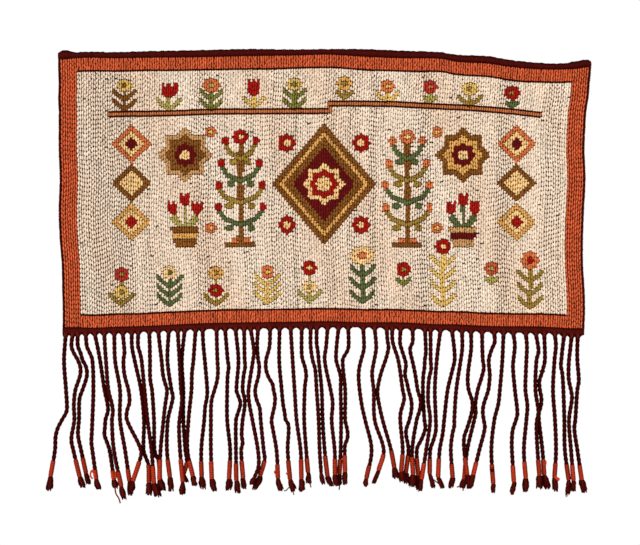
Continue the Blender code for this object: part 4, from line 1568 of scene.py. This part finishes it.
# %% Note the loose ends
LOOSE_ENDS = (
    # cord, dye, radius, places along it: (across, drop)
    (4, THREAD_DYE, 1.7, ((-459, 841), (-465, 844), (-466, 853), (-462, 859))),
    (4, THREAD_DYE, 2.4, ((-463, 846), (-461, 844), (-458, 843), (-455, 844))),
    (4, THREAD_DYE, 3.2, ((-458, 846), (-458, 850), (-457, 854), (-456, 857))),
    (5, THREAD_DYE, 3.0, ((-424, 847), (-424, 851), (-424, 855), (-423, 859))),
    (5, THREAD_DYE, 2.8, ((-417, 846), (-417, 850), (-417, 854), (-418, 858))),
    (5, THREAD_DYE * 0.35, 1.5, ((-419, 872), (-417, 889), (-411, 899), (-408, 909))),
    (24, THREAD_DYE, 1.5, ((-94, 842), (-98, 843), (-98, 847), (-94, 849))),
    (25, THREAD_DYE, 1.1, ((-71, 847), (-75, 848), (-75, 850), (-71, 852))),
    (25, TUFT_DYE, 1.1, ((-69, 876), (-73, 880), (-76, 883), (-80, 884))),
    (25, DARK_DYE, 1.0, ((-62, 881), (-61, 885), (-61, 889), (-60, 892))),
    (27, DARK_DYE, 1.2, ((-31, 862), (-29, 868), (-27, 873), (-26, 877))),
    (31, DARK_DYE, 1.2, ((32, 864), (31, 871), (31, 877), (30, 882))),
    (42, TUFT_DYE, 1.2, ((218, 860), (223, 864), (228, 868), (233, 872))),
    (45, TUFT_DYE, 1.3, ((276, 870), (272, 874), (269, 876), (266, 877))),
    (45, TUFT_DYE, 1.3, ((280, 872), (279, 876), (279, 880), (278, 884))),
    (47, DARK_DYE, 4.7, ((336, 839), (336.3, 841), (336.6, 843), (337, 846))),
    (49, THREAD_DYE, 1.3, ((403, 826), (398, 829), (399, 832), (403, 835))),
    (51, THREAD_DYE, 2.4, ((442, 824), (443, 826), (443, 829), (442, 832))),
    (51, DARK_DYE, 2.1, ((431, 645), (434, 644), (438, 645), (442, 644))),
    (52, THREAD_DYE, 3.3, ((460, 854), (463, 857), (466, 859), (469, 861))),
    (53, dye(150, 100, 90), 0.7, ((484, 886), (483, 892), (485, 896), (488, 893))),
    (55, TUFT_DYE, 1.3, ((518, 878), (521, 881), (524, 884), (526, 887))),
)
print(len(LOOSE_ENDS), "loose ends")

# %% Leave the loose ends
END_STATIONS, END_SIDES = 10, 6
end_paths = []
for cord, _, radius, places in LOOSE_ENDS:
    at = np.linspace(0.0, len(places) - 1.0, END_STATIONS)
    rows = [(number, *place) for number, place in enumerate(places)]
    across_end, drop_end = (along(rows, measure, at) for measure in (1, 2))
    depth = cord_axis(cord - 1, drop_end)[:, 1] - max(3.0 - 0.5 * radius, 0.0)
    end_paths.append(np.stack((across_end, depth, -drop_end), axis=1))
end_radii = np.array([[row[2]] * END_STATIONS for row in LOOSE_ENDS])
end_points, end_faces = sweep(end_paths, end_radii, END_SIDES)
end_dyes = np.repeat([row[1] for row in LOOSE_ENDS], END_STATIONS * END_SIDES, axis=0)
loose_ends = make_piece("loose_ends", end_points, end_faces, end_dyes, sewing_thread)

# %% [markdown]
# ## What kind of cloth this is
# The library wants to know every sheet of cloth and what is sewn on it. The ground is the sheet: it was
# woven about 1.05 m wide and 0.53 m long, and it hangs from its heading. Every piece sewn on it is
# gathered in one list.

sewn_on = [*face_pieces, reverse, line_yarns, tags, heading, *bindings, band]
sewn_on += [*cord_pieces, roots, whippings, tufts, loose_ends]
print("pieces on the sheet:", len(sewn_on))

# %% [markdown]
# ## Floor, light and camera
# The hanging was photographed straight on, in soft even light against pure white. A white sky gives
# both the white ground and the even light, and one soft sun from the upper left models the
# stitches. A pale floor lies well below the fringe.

# %% Lay the floor
FLOOR_DROP = 1.3
FLOOR_SIDE, FLOOR_FRONT, FLOOR_BACK = 3.0, -4.6, 1.5
floor_mesh = bpy.data.meshes.new("floor")
floor_corners = [
    (-FLOOR_SIDE, FLOOR_FRONT, -FLOOR_DROP),
    (FLOOR_SIDE, FLOOR_FRONT, -FLOOR_DROP),
    (FLOOR_SIDE, FLOOR_BACK, -FLOOR_DROP),
    (-FLOOR_SIDE, FLOOR_BACK, -FLOOR_DROP),
]
floor_mesh.from_pydata(floor_corners, [], [(0, 1, 2, 3)])
floor = place_object("floor", floor_mesh)
plaster = Finish("pale_plaster", Roughness=0.9)
speckle = plaster.node("TexNoise", {}, {"Scale": 40.0, "Detail": 4.0})
ramp = plaster.node(
    "ValToRGB", {"stops": ((0.3, (0.78, 0.77, 0.75)), (0.7, (0.84, 0.83, 0.82)))}, {"Fac": speckle}
)
plaster.shade(Base_Color=ramp)
floor_mesh.materials.append(plaster.material)
print("floor at", -FLOOR_DROP, "m")

# %% Set the light
world = bpy.data.worlds.new("white_sky")
world.use_nodes = True
sky = world.node_tree.nodes["Background"]
sky.inputs["Color"].default_value = (1.0, 1.0, 1.0, 1.0)
sky.inputs["Strength"].default_value = 1.0
bpy.context.scene.world = world
bpy.context.scene.view_settings.view_transform = "Standard"


def add_sun(name, way, spread, strength):
    """A far lamp that shines along a direction, soft by its spread in degrees."""
    lamp = bpy.data.lights.new(name, "SUN")
    lamp.angle = math.radians(spread)
    lamp.energy = strength
    holder = place_object(name, lamp)
    level = math.hypot(way[0], way[1])
    holder.rotation_euler = (math.atan2(level, -way[2]), 0.0, math.atan2(-way[0], way[1]))


add_sun("window_light", (0.75, 1.0, -0.7), 14.0, 2.15)
print("lamps:", len(bpy.data.lights))

# %% Set the camera
LENS, SENSOR = 85.0, 36.0
VIEW_WIDTH = 1.28
VIEW_MIDDLE = (-0.008, -0.447)
camera_data = bpy.data.cameras.new("camera")
camera_data.lens = LENS
camera_data.sensor_width = SENSOR
camera = place_object("camera", camera_data)
camera.location = (VIEW_MIDDLE[0], -VIEW_WIDTH * LENS / SENSOR, VIEW_MIDDLE[1])
camera.rotation_euler = (math.pi / 2, 0.0, 0.0)
bpy.context.scene.camera = camera
print("camera distance:", round(-camera.location.y, 3), "m")
